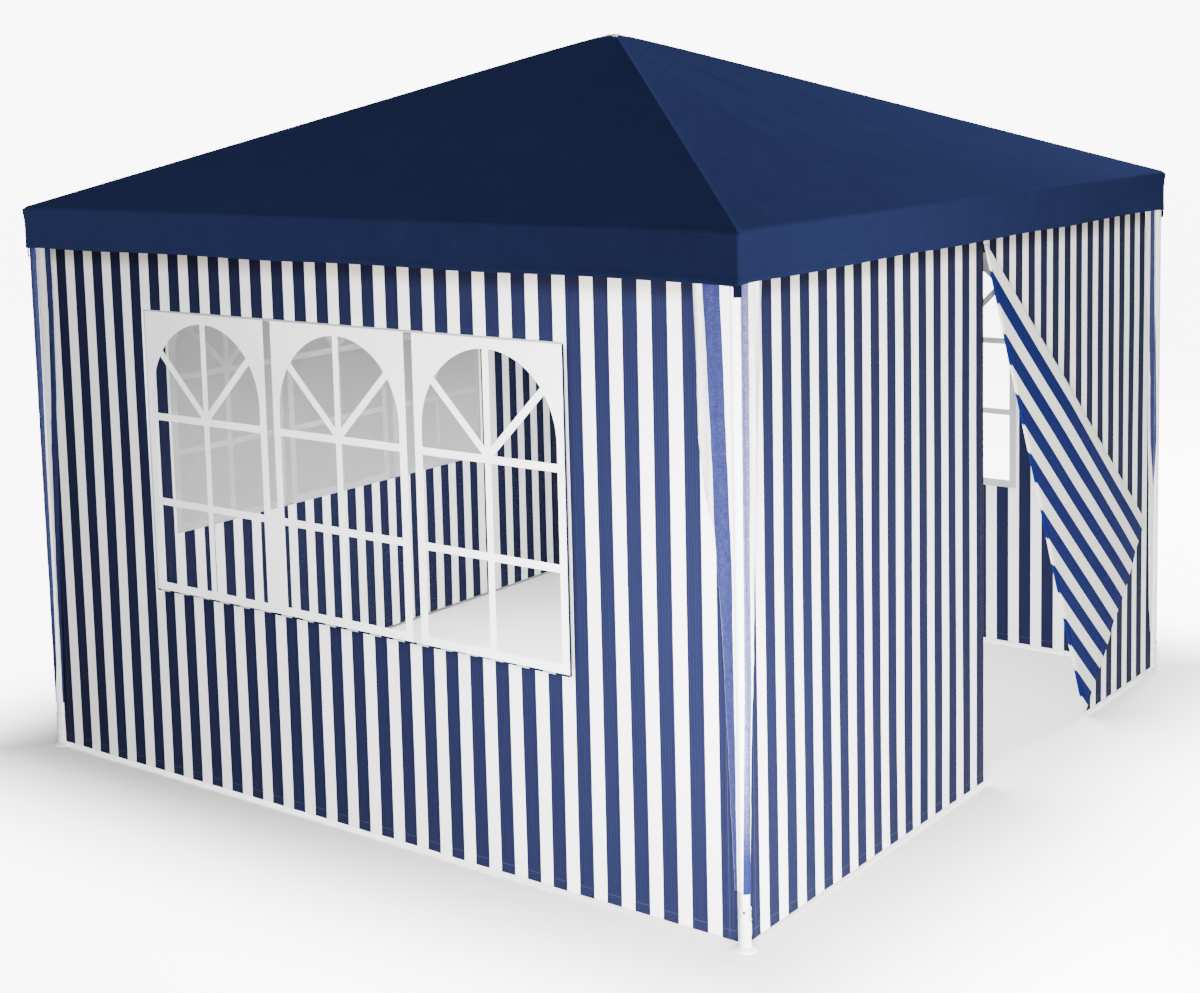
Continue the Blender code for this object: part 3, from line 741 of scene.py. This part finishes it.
def binding_run(start, end, flat_start, flat_end):
    """Rings of a small half-round edge from start to end, with their places on the striped cloth."""
    run = end - start
    side = Vector((0, -1, 0)).cross(run).normalized()
    rings, flat = [], []
    for k in range(81):
        middle = start + run * (k / 80)
        for angle in (0, 45, 90, 135, 180):
            a = math.radians(angle)
            rings.append(middle + side * BINDING_HALF * math.cos(a) + Vector((0, -0.0018 * math.sin(a), 0)))
            flat.append((flat_start + (flat_end - flat_start) * k / 80, angle / 45 * 0.002))
    return rings, flat


for side in WINDOW_SIDES:
    turn = SIDES[side]

    def film_point(u, z):
        sag = noise.noise(Vector((u * 2.4 + turn * 5, z * 2.1, 3.3))) * 0.0004
        return quarter(turn) @ Vector((u, -WALL_LINE + sag, z))

    film = sheet_piece(f"clear_film_{side}", steps(-WINDOW_HALF, WINDOW_HALF, 0.06), steps(*WINDOW_Z, 0.06), film_point,
                       clear_film)
    film.modifiers["cloth thickness"].thickness = FILM_THICK
    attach(film, "frame_and_sheets")
    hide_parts(f"window_film_{side}")

    print_mesh = bars.copy()
    print_mesh.transform(quarter(turn))
    lights = bpy.data.objects.new(f"window_print_{side}", print_mesh)
    bpy.context.scene.collection.objects.link(lights)
    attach(lights, "frame_and_sheets")

    points, faces, flat = [], [], []
    front = -WALL_LINE - SHEET_THICK / 2
    left, right = -WINDOW_HALF, WINDOW_HALF
    low, high = WINDOW_Z
    # The right edge's run is placed on a blue stripe, so it draws as a dark painted shadow line; the left and top fall
    # on grey white, and the bottom alternates.
    for start, end, flat_start, flat_end in (
        ((left, low), (right, low), left - 0.03, right - 0.03),
        ((right, low), (right, high), 0.049, 0.05),
        ((right, high), (left, high), 0.0, 0.004),
        ((left, high), (left, low), 0.0, 0.004),
    ):
        rings, places = binding_run(Vector((start[0], front, start[1])), Vector((end[0], front, end[1])),
                                    flat_start, flat_end)
        faces += grid_faces(81, 5, len(points))
        points += [quarter(turn) @ p for p in rings]
        flat += places
    edge = mesh_piece(f"window_binding_{side}", points, faces, binding_cloth_painted_shadow, flat)
    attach(edge, "frame_and_sheets")

# ------------------------------------------------------------------
# Door wall: two halves of the same striped sheet on the front. The left
# one hangs closed. The right one is cut along the slanting line where its
# corner is folded back outside, and hangs behind the folded flap.

SLIT_X = -0.235 * STRIPE
FOLD_TOP = Vector((-0.01803, -1.474, 1.80))
FOLD_ANGLE = math.radians(24.5)
FOLD_WAY = Vector((math.sin(FOLD_ANGLE), 0, -math.cos(FOLD_ANGLE)))


def fold_x(z):
    """Where the slanting fold line is at a height."""
    return FOLD_TOP.x + max(0, FOLD_TOP.z - z) * math.tan(FOLD_ANGLE)


def door_point(u, z):
    out = min(wall_out(9, u, z), 0.0012)
    return Vector((u, -WALL_LINE - out, min(z, wall_top(u))))


left_columns = spaced([-WALL_HALF, -WALL_HALF + WALL_HEM, -CORNER_FROM, SLIT_X], 0.03)
door_left = sheet_piece("door_left_half", left_columns, wall_rows, door_point, wall_cloth)
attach(door_left, "frame_and_sheets")
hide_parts("door_wall_left")

right_shares = steps(0, 1, 1 / 52)
right_rows = spaced([HEM_Z, HEM_Z + 0.004, HEM_Z + WALL_HEM, FOLD_TOP.z, WALL_TOP_Z], 0.035)


def across_right(share, z):
    start = fold_x(z)
    return start + (WALL_HALF - start) * share


def right_point(share, z):
    return door_point(across_right(share, z), z)


door_right = sheet_piece("door_right_half", right_shares, right_rows, right_point, wall_cloth,
                         flat=lambda share, z: (across_right(share, z), z))
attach(door_right, "frame_and_sheets")
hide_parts("door_wall_right")
fold_drop = FOLD_TOP.z - HEM_Z

# ------------------------------------------------------------------
# Door flap: the same sheet, folded back outside along the slanting line,
# so its inner face shows. The inner face is plainer and its weave coarser
# to look at. The folded edge is a narrow strip curved round the fold line.

FLAP_REST_Y = -1.478
FLAP_BULGE = 0.010
FOLD_GAP = 0.0035

flap_cloth = striped_sheet("striped flap, inner face", (0.0040, 0.0080, 0.072, 1), (0.006, 0.012, 0.095, 1),
                           (0.80, 0.785, 0.74, 1), (0.68, 0.68, 0.68, 1), 0.35)


def folded(x, z):
    """A point of the closed door leaf, carried over the fold line in the wall's plane."""
    from_top = Vector((x - FOLD_TOP.x, 0, z - FOLD_TOP.z))
    along = from_top.dot(FOLD_WAY)
    return FOLD_TOP + 2 * FOLD_WAY * along - from_top


def from_fold(x, z):
    """How far a point of the closed leaf is from the fold line."""
    return (Vector((x - FOLD_TOP.x, 0, z - FOLD_TOP.z)) - FOLD_WAY * Vector(
        (x - FOLD_TOP.x, 0, z - FOLD_TOP.z)).dot(FOLD_WAY)).length


def flap_point(share, z):
    x = FOLD_TOP.x + (fold_x(z) - FOLD_TOP.x) * share
    away = from_fold(x, z)
    place = folded(x, z)
    lift = min(1, away / 0.35)
    wave = noise.noise(Vector((x * 5, z * 2.5, 8.1))) * 0.006 * lift
    hem = noise.noise(Vector((x * 11, 4.4, 2.2))) * 0.006 * max(0, 1 - (z - HEM_Z) / 0.4) * lift
    place.y = FLAP_REST_Y - FLAP_BULGE * lift ** 1.5 + wave + hem
    place.y = min(place.y, FLAP_REST_Y)
    return place


flap_rows = spaced([HEM_Z, HEM_Z + 0.004, HEM_Z + WALL_HEM, FOLD_TOP.z - 0.008], 0.03)
flap = sheet_piece("door_flap_cloth", steps(0, 1, 1 / 30), flap_rows, flap_point, flap_cloth,
                   flat=lambda share, z: (FOLD_TOP.x + (fold_x(z) - FOLD_TOP.x) * share, z))
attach(flap, "door_flap")
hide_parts("door_flap")

points, flat = [], []
fold_long = fold_drop / math.cos(FOLD_ANGLE)
away_side = Vector((math.cos(FOLD_ANGLE), 0, math.sin(FOLD_ANGLE)))
for k in range(65):
    middle = FOLD_TOP + FOLD_WAY * (0.008 + (fold_long - 0.012) * k / 64)
    for angle in range(-90, 91, 20):
        a = math.radians(angle)
        points.append(middle + Vector((0, FOLD_GAP * math.sin(a), 0)) - away_side * FOLD_GAP * 0.8 * math.cos(a))
        flat.append((middle.x + 0.0004 * angle / 10, middle.z))
fold_edge = mesh_piece("door_fold_edge", points, grid_faces(65, 10), flap_cloth, flat)
thicken(fold_edge, SHEET_THICK, 0.0)
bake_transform(fold_edge)

# ------------------------------------------------------------------
# Leg wraps: at each corner the walls' spare cloth is folded round the leg
# and pinned behind. A wrap is wide and crinkled under the valance, and
# narrows to the leg by the foot. Its stripes don't meet the walls' own.

WRAP_LOW_Z = 0.16
WRAP_TOP_Z = 1.8547
WRAP_ROUND = 0.0160
WING_OUT = 0.0034
WING_WIDE = 0.134

wrap_cloth, tree, shader = material_with("striped wrap sheet", Specular_IOR_Level=0.02)
place = wire(tree, "UVMap", uv_map="flat_cloth").outputs[0]
split = wire(tree, "SeparateXYZ", {0: place})
woven = placed(tree, weave, {"Vector": place, "Thread": 0.0026})
creased = placed(tree, crease, {"Vector": place, "Every": 0.11})
tints = wire(tree, "Attribute", attribute_name="wrap_tint")
net = wire(tree, "TexNoise", {"Vector": wire(tree, "Mapping", {"Vector": place, "Scale": (900.0, 60.0, 1.0)}).outputs[0],
                              "Scale": 1.0, "Detail": 1.0})
cross = wire(tree, "TexNoise", {"Vector": wire(tree, "Mapping", {"Vector": place, "Scale": (60.0, 420.0, 1.0)}).outputs[0],
                                "Scale": 1.0, "Detail": 1.0})
threads = sums(tree, "MAXIMUM", ramp(tree, net.outputs["Fac"], 0.45, 0.62), ramp(tree, cross.outputs["Fac"], 0.48, 0.64))
patchy = wire(tree, "TexNoise", {"Vector": place, "Scale": 38.0, "Detail": 4.0, "Roughness": 0.7})
sheer = sums(tree, "MULTIPLY", sums(tree, "MULTIPLY", threads, ramp(tree, patchy.outputs["Fac"], 0.3, 0.65, 0.5, 1.0)),
             tints.outputs["Alpha"])
colour = mixed(tree, sheer, tints.outputs["Color"], (0.86, 0.86, 0.88, 1))
tape = ramp(tree, woven.outputs["Tone"], 0.2, 0.8, 0.86, 1.0)
colour = mixed(tree, 1.0, colour, wire(tree, "CombineColor", {0: tape, 1: tape, 2: tape}).outputs[0], "MULTIPLY")
tree.links.new(colour, shader.inputs["Base Color"])
tree.links.new(ramp(tree, woven.outputs["Tone"], 0.2, 0.8, 0.48, 0.66), shader.inputs["Roughness"])
bump = wire(tree, "Bump", {"Height": creased.outputs["Height"], "Strength": 0.5, "Distance": 0.006})
bump = wire(tree, "Bump", {"Height": woven.outputs["Height"], "Strength": 0.35, "Distance": 0.0004,
                           "Normal": bump.outputs["Normal"]})
tree.links.new(bump.outputs["Normal"], shader.inputs["Normal"])

# Tints of the bands. The last number is how much of the white cloth shows between the blue threads.
WHITE_BAND = (0.88, 0.88, 0.87, 0)
# Painted shadow: the grey band is white cloth coloured grey along the wrap's outer fold, standing in for the fold's
# shadow.
FOLD_SHADOW_GREY = (0.50, 0.50, 0.50, 0)
BLUE_BAND = (0.011, 0.014, 0.070, 0.022)
SHEER_BLUE = (0.022, 0.030, 0.110, 0.035)
LILAC_NET = (0.060, 0.060, 0.22, 0.20)
DEEP_BLUE = (0.008, 0.014, 0.075, 0.008)
LOW_TINT_Z = (0.55, 0.25)
BEND = (100, 350)

# The bands on each wing from the leg out, then round the bend. Each has its tint, its tint low down where
# that differs, and its edge by height from the top: metres from the leg's middle line, or degrees.
WINDOW_WING = [
    ([(1.86, 0.049), (1.76, 0.046), (1.62, 0.041), (1.435, 0.0365), (1.06, 0.0235), (0.17, 0.022)], WHITE_BAND),
    ([(1.86, 0.106), (1.62, 0.0927), (1.435, 0.084), (1.15, 0.0775), (0.9, 0.058), (0.17, 0.030)], BLUE_BAND),
    ([(1.86, 0.134), (1.62, 0.127), (1.4, 0.121), (1.25, 0.106), (1.15, 0.0777), (0.9, 0.0582), (0.17, 0.0302)],
     FOLD_SHADOW_GREY),
]
DOOR_WING = [
    ([(1.86, 0.056), (1.3, 0.048), (1.065, 0.044), (0.685, 0.041), (0.54, 0.031), (0.17, 0.021)], LILAC_NET, DEEP_BLUE),
    ([(1.86, 0.104), (1.3, 0.0745), (1.065, 0.067), (0.685, 0.0465), (0.54, 0.0355), (0.17, 0.0213)], WHITE_BAND),
    ([(1.86, 0.126), (1.3, 0.081), (1.065, 0.0673), (0.685, 0.0468), (0.54, 0.0358), (0.17, 0.0216)], FOLD_SHADOW_GREY),
]
NEAR_BEND = [
    ([(1.86, 260), (1.065, 247), (0.685, 235), (0.54, 224), (0.315, 205), (0.17, 194)], WHITE_BAND),
    ([(1.86, BEND[1]), (0.17, BEND[1])], LILAC_NET, DEEP_BLUE),
]
FAR_WINDOW_WING = [
    ([(1.86, 0.066), (1.55, 0.064), (1.33, 0.055), (1.07, 0.038), (0.63, 0.025), (0.17, 0.020)], WHITE_BAND),
    ([(1.86, 0.098), (1.6, 0.094), (1.33, 0.086), (1.07, 0.072), (0.63, 0.045), (0.17, 0.028)], BLUE_BAND),
]
FAR_BEND = [
    ([(1.86, 104), (1.33, 112), (1.07, 126), (0.61, 131), (0.3, 146), (0.17, 190)], WHITE_BAND),
    ([(1.86, 300), (0.17, 300)], SHEER_BLUE, DEEP_BLUE),
    ([(1.86, BEND[1]), (0.17, BEND[1])], WHITE_BAND),
]
RIGHT_DOOR_WING = [
    ([(1.86, 0.034), (1.52, 0.028), (1.31, 0.0175), (0.17, 0.0175)], WHITE_BAND),
    ([(1.86, 0.073), (1.52, 0.074), (1.31, 0.075), (0.92, 0.054), (0.72, 0.0178), (0.17, 0.0177)], SHEER_BLUE),
    ([(1.86, 0.134), (1.52, 0.107), (1.31, 0.088), (0.92, 0.076), (0.26, 0.050), (0.17, 0.036)], WHITE_BAND),
]
RIGHT_BEND = [
    ([(1.86, 348), (1.42, 346), (1.31, 335), (0.92, 314), (0.74, 345), (0.17, 348)], WHITE_BAND),
    ([(1.86, BEND[1]), (0.17, BEND[1])], SHEER_BLUE, WHITE_BAND),
]
WRAPS = {
    "front_left": (WINDOW_WING, NEAR_BEND, DOOR_WING),
    "front_right": (FAR_WINDOW_WING, RIGHT_BEND, RIGHT_DOOR_WING),
    "back_right": (WINDOW_WING, NEAR_BEND, DOOR_WING),
    "back_left": (FAR_WINDOW_WING, FAR_BEND, DOOR_WING),
}
BAND_COLUMNS = 7


def read_table(table, z):
    """A value that changes with height, between the heights that are listed from the top down."""
    for (z0, v0), (z1, v1) in zip(table, table[1:]):
        if z >= z1:
            return v0 + (v1 - v0) * (z - z0) / (z1 - z0)
    return table[-1][1]


def band_edges(bands, start, z, stray):
    """The places across one part of a wrap where its bands begin and end, at one height."""
    edges = [start]
    for table, *_ in bands:
        edges.append(max(edges[-1], read_table(table, z) + stray))
    return edges


def band_tint(band, z):
    """A band's tint at a height."""
    low = min(1, max(0, (LOW_TINT_Z[0] - z) / (LOW_TINT_Z[0] - LOW_TINT_Z[1])))
    return [a + (b - a) * low for a, b in zip(band[1], band[-1])]


def bend_radius(z):
    return WRAP_ROUND + 0.0006 * (z - WRAP_LOW_Z) / (WRAP_TOP_Z - WRAP_LOW_Z)


def on_wing(away, z, seed):
    """How far a wing's loose cloth stands out of the wall."""
    loose = max(0, (away - 0.02) / 0.1)
    high = max(0, (z - 1.1) / 0.75)
    fold = 0.0034 * math.sin(away * 200 + z * 2.0 + seed) * loose
    fold += 0.0014 * noise.noise(Vector((away * 60, z * 22, seed)))
    fold += 0.0050 * abs(noise.noise(Vector((away * 30, z * 34, seed + 9)))) * high * loose
    return WING_OUT + max(0, fold)


def wrap_places(part, edges, z, seed):
    """Points and flat-cloth places across one part of a wrap, band by band."""
    strips = []
    for start, end in zip(edges, edges[1:]):
        strip = []
        for k in range(BAND_COLUMNS):
            at = start + (end - start) * k / (BAND_COLUMNS - 1)
            if part == 1:
                angle = math.radians(at)
                bulge = 0.0009 * noise.noise(Vector((angle * 2, z * 26, seed + 3)))
                radius = bend_radius(z) + bulge * math.sin(math.pi * (at - BEND[0]) / (BEND[1] - BEND[0]))
                place = Vector((radius * math.cos(angle), radius * math.sin(angle), z))
                strip.append((place, ((at - sum(BEND) / 2) / 180 * math.pi) * WRAP_ROUND))
            else:
                out = on_wing(at, z, seed + part)
                strip.append((Vector((-out, at, z)), -at - 0.02) if part == 0 else (Vector((at, -out, z)), at + 0.02))
        strips.append(strip)
    return strips


for corner, turn in CORNERS.items():
    mirrored = corner in ("back_left", "front_right")
    levels = steps(WRAP_LOW_Z, WRAP_TOP_Z, 0.014)
    points, flat, faces, tints, widths = [], [], [], [], [0] * len(levels)
    for part, bands in enumerate(WRAPS[corner]):
        rows = []
        for level, z in enumerate(levels):
            radius = bend_radius(z)
            start = BEND[0] if part == 1 else radius
            stray = 0 if part == 1 else noise.noise(Vector((z * 14, turn * 3.0 + part, 0.5))) * 0.001
            edges = band_edges(bands, start, z, stray)
            if part == 1:
                edges = [min(edge, BEND[1]) for edge in edges]
            widths[level] += (edges[-1] - start) * (math.radians(1) * radius if part == 1 else 1)
            rows.append(wrap_places(part, edges, z, turn * 3.0))
        for strip, band in enumerate(bands):
            new_faces = grid_faces(len(levels), BAND_COLUMNS, len(points))
            for level, z in enumerate(levels):
                for place, across in rows[level][strip]:
                    place = Vector((place.y, place.x, place.z)) if mirrored else place
                    points.append(quarter(turn) @ (place + Vector((-WALL_LINE, -WALL_LINE, 0))))
                    flat.append((across, z))
            turned_round = mirrored != (part == 0)
            faces += [tuple(reversed(f)) for f in new_faces] if turned_round else new_faces
            tints += [band_tint(band, levels[f // (BAND_COLUMNS - 1)]) for f in range(len(new_faces))]
    wrap = mesh_piece(f"leg_wrap_cloth_{corner}", points, faces, wrap_cloth, flat)
    tint = wrap.data.color_attributes.new("wrap_tint", "FLOAT_COLOR", "CORNER")
    for face, colour in zip(wrap.data.polygons, tints):
        for k in face.loop_indices:
            tint.data[k].color = colour
    thicken(welded(wrap), 0.0006, 1.0)
    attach(wrap, "frame_and_sheets")
    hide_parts(f"leg_wrap_{corner}")

# ------------------------------------------------------------------
# Strap tabs: a short navy webbing strap sewn under each corner of the
# valance. It ties the canopy down to the leg, and its end hangs free.

TAB_WIDE = 0.022
TAB_LONG = 0.034
TAB_THICK = 0.0016

strap_webbing, tree, shader = material_with("navy webbing", Specular_IOR_Level=0.0)
place = wire(tree, "UVMap", uv_map="flat_cloth").outputs[0]
ribs = wire(tree, "TexWave", {"Vector": place, "Scale": 180.0, "Distortion": 0.6}, wave_type="BANDS",
            bands_direction="Y")
tree.links.new(mixed(tree, ribs.outputs["Fac"], (0.0016, 0.002, 0.007, 1), (0.003, 0.004, 0.014, 1)),
               shader.inputs["Base Color"])
tree.links.new(ramp(tree, ribs.outputs["Fac"], 0.0, 1.0, 0.6, 0.8), shader.inputs["Roughness"])
bump = wire(tree, "Bump", {"Height": ribs.outputs["Fac"], "Strength": 0.5, "Distance": 0.0006})
tree.links.new(bump.outputs["Normal"], shader.inputs["Normal"])

for corner, turn in CORNERS.items():
    out = Vector((-1, -1, 0)).normalized()
    side = Vector((1, -1, 0)).normalized()
    hung = Vector((-EAVE_HALF, -EAVE_HALF, 0)) - out * 0.0085
    points, flat = [], []
    for down in steps(-0.02, TAB_LONG, 0.006):
        for across in steps(-TAB_WIDE / 2, TAB_WIDE / 2, 0.0055):
            curl = 0.0012 * math.sin(down * 90)
            points.append(quarter(turn) @ (hung + side * across + out * curl + Vector((0, 0, VALANCE_BOTTOM_Z - down))))
            flat.append((across, down))
    tab = mesh_piece(f"strap_tab_{corner}", points, grid_faces(len(points) // 5, 5), strap_webbing, flat)
    thicken(tab, TAB_THICK, 0.0)
    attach(tab, "frame_and_sheets")

# ------------------------------------------------------------------
# Studio: a plain pale floor and a white surround, low soft lights before
# the near corner, a high one from the right and a fill inside the tent.

FLOOR_HALF = 30.0
FLOOR_GLOW = 7.8
SURROUND = 0.7
SURROUND_SEEN = 9.0
SURROUND_PAST_FILMS = 2.0
FILM_FACES = 2.5

floor_paint, tree, shader = material_with("pale studio floor", Roughness=0.9, Specular_IOR_Level=0.0)
place = wire(tree, "TexCoord").outputs["Object"]
mottle = wire(tree, "TexNoise", {"Vector": place, "Scale": 0.6, "Detail": 3.0})
tree.links.new(mixed(tree, mottle.outputs["Fac"], (0.80, 0.80, 0.80, 1), (0.82, 0.82, 0.82, 1)),
               shader.inputs["Base Color"])
split = wire(tree, "SeparateXYZ", {0: place})
beyond = sums(tree, "SUBTRACT", sums(tree, "MAXIMUM", sums(tree, "ABSOLUTE", split.outputs["X"]),
                                     sums(tree, "ABSOLUTE", split.outputs["Y"])), WALL_LINE)
clear = ramp(tree, beyond, 0.0, 0.9)
path = wire(tree, "LightPath").outputs
direct = sums(tree, "LESS_THAN", path["Transparent Depth"], FILM_FACES)
seen = sums(tree, "MULTIPLY", path["Is Camera Ray"], direct)
shader.inputs["Emission Color"].default_value = (1, 1, 1, 1)
tree.links.new(sums(tree, "MULTIPLY", sums(tree, "MULTIPLY", clear, seen), FLOOR_GLOW),
               shader.inputs["Emission Strength"])
floor = mesh_piece("studio_floor", [(-FLOOR_HALF, -FLOOR_HALF, 0), (FLOOR_HALF, -FLOOR_HALF, 0),
                                    (FLOOR_HALF, FLOOR_HALF, 0), (-FLOOR_HALF, FLOOR_HALF, 0)], [(0, 1, 2, 3)],
                   floor_paint, smooth=False)


def soft_light(name, place, target, size, power, spread=180, linked=None, state="EXCLUDE"):
    """A round soft light that the camera doesn't see. It leaves the linked piece alone, or lights nothing else."""
    lamp = bpy.data.lights.new(name, "AREA")
    lamp.shape = "DISK"
    lamp.size = size
    lamp.energy = power
    lamp.spread = math.radians(spread)
    made = bpy.data.objects.new(name, lamp)
    made.location = place
    made.rotation_euler = (Vector(target) - Vector(place)).to_track_quat("-Z", "Y").to_euler()
    made.visible_camera = False
    bpy.context.scene.collection.objects.link(made)
    if linked:
        chosen = bpy.data.collections.new(f"pieces for {name}")
        chosen.objects.link(linked)
        chosen.collection_objects[0].light_linking.link_state = state
        made.light_linking.receiver_collection = chosen


soft_light("low light, left wall", (-3.7, -2.5, 1.1), (-1.47, -1.4, 1.0), 1.3, 165, 100, canopy)
soft_light("low light, door wall", (-2.2, -3.5, 0.3), (-1.2, -1.47, 0.35), 1.1, 80, 90, canopy)
soft_light("high right light", (6.3, -1.6, 5.2), (0.0, 0.0, 1.8), 3.5, 1450)
soft_light("left valance light", (-6.0, 1.6, 1.9), (-1.49, 0.6, 1.88), 2.0, 180, 180, canopy, "INCLUDE")
soft_light("front valance light", (-1.0, -4.5, 1.6), (-1.0, -1.49, 1.88), 1.0, 36, 90, canopy, "INCLUDE")
soft_light("fill inside", (0.0, 0.0, 1.75), (0.0, 0.0, 0.0), 2.0, 140, 140)

world = bpy.data.worlds.new("white surround")
world.use_nodes = True
tree = world.node_tree
path = wire(tree, "LightPath").outputs
direct = sums(tree, "LESS_THAN", path["Transparent Depth"], FILM_FACES)
looked_at = wire(tree, "Mix", {0: direct, 2: SURROUND_PAST_FILMS, 3: SURROUND_SEEN}, data_type="FLOAT").outputs[0]
glow = wire(tree, "Mix", {0: path["Is Camera Ray"], 2: SURROUND, 3: looked_at}, data_type="FLOAT").outputs[0]
tree.nodes["Background"].inputs["Color"].default_value = (1, 1, 1, 1)
tree.links.new(glow, tree.nodes["Background"].inputs["Strength"])
bpy.context.scene.world = world

# The photograph's camera: its focal length in pixels, heading, tilt and roll
FOCAL_PX = 1909.63
PHOTO_WIDE = 1200
SENSOR = 36.0
HEADING, TILT, ROLL = 0.92093, 0.11567, -0.02383

lens = bpy.data.cameras.new("photo camera")
lens.sensor_width = SENSOR
lens.lens = FOCAL_PX / PHOTO_WIDE * SENSOR
lens.shift_y = -0.16
lens.clip_end = 200
camera = bpy.data.objects.new("photo camera", lens)
aim = Euler((math.pi / 2 - TILT, 0, -HEADING)).to_matrix() @ Matrix.Rotation(ROLL, 3, "Z")
camera.matrix_world = Matrix.Translation((-5.60776, -4.17127, 2.33757)) @ aim.to_4x4()
bpy.context.scene.collection.objects.link(camera)
bpy.context.scene.camera = camera
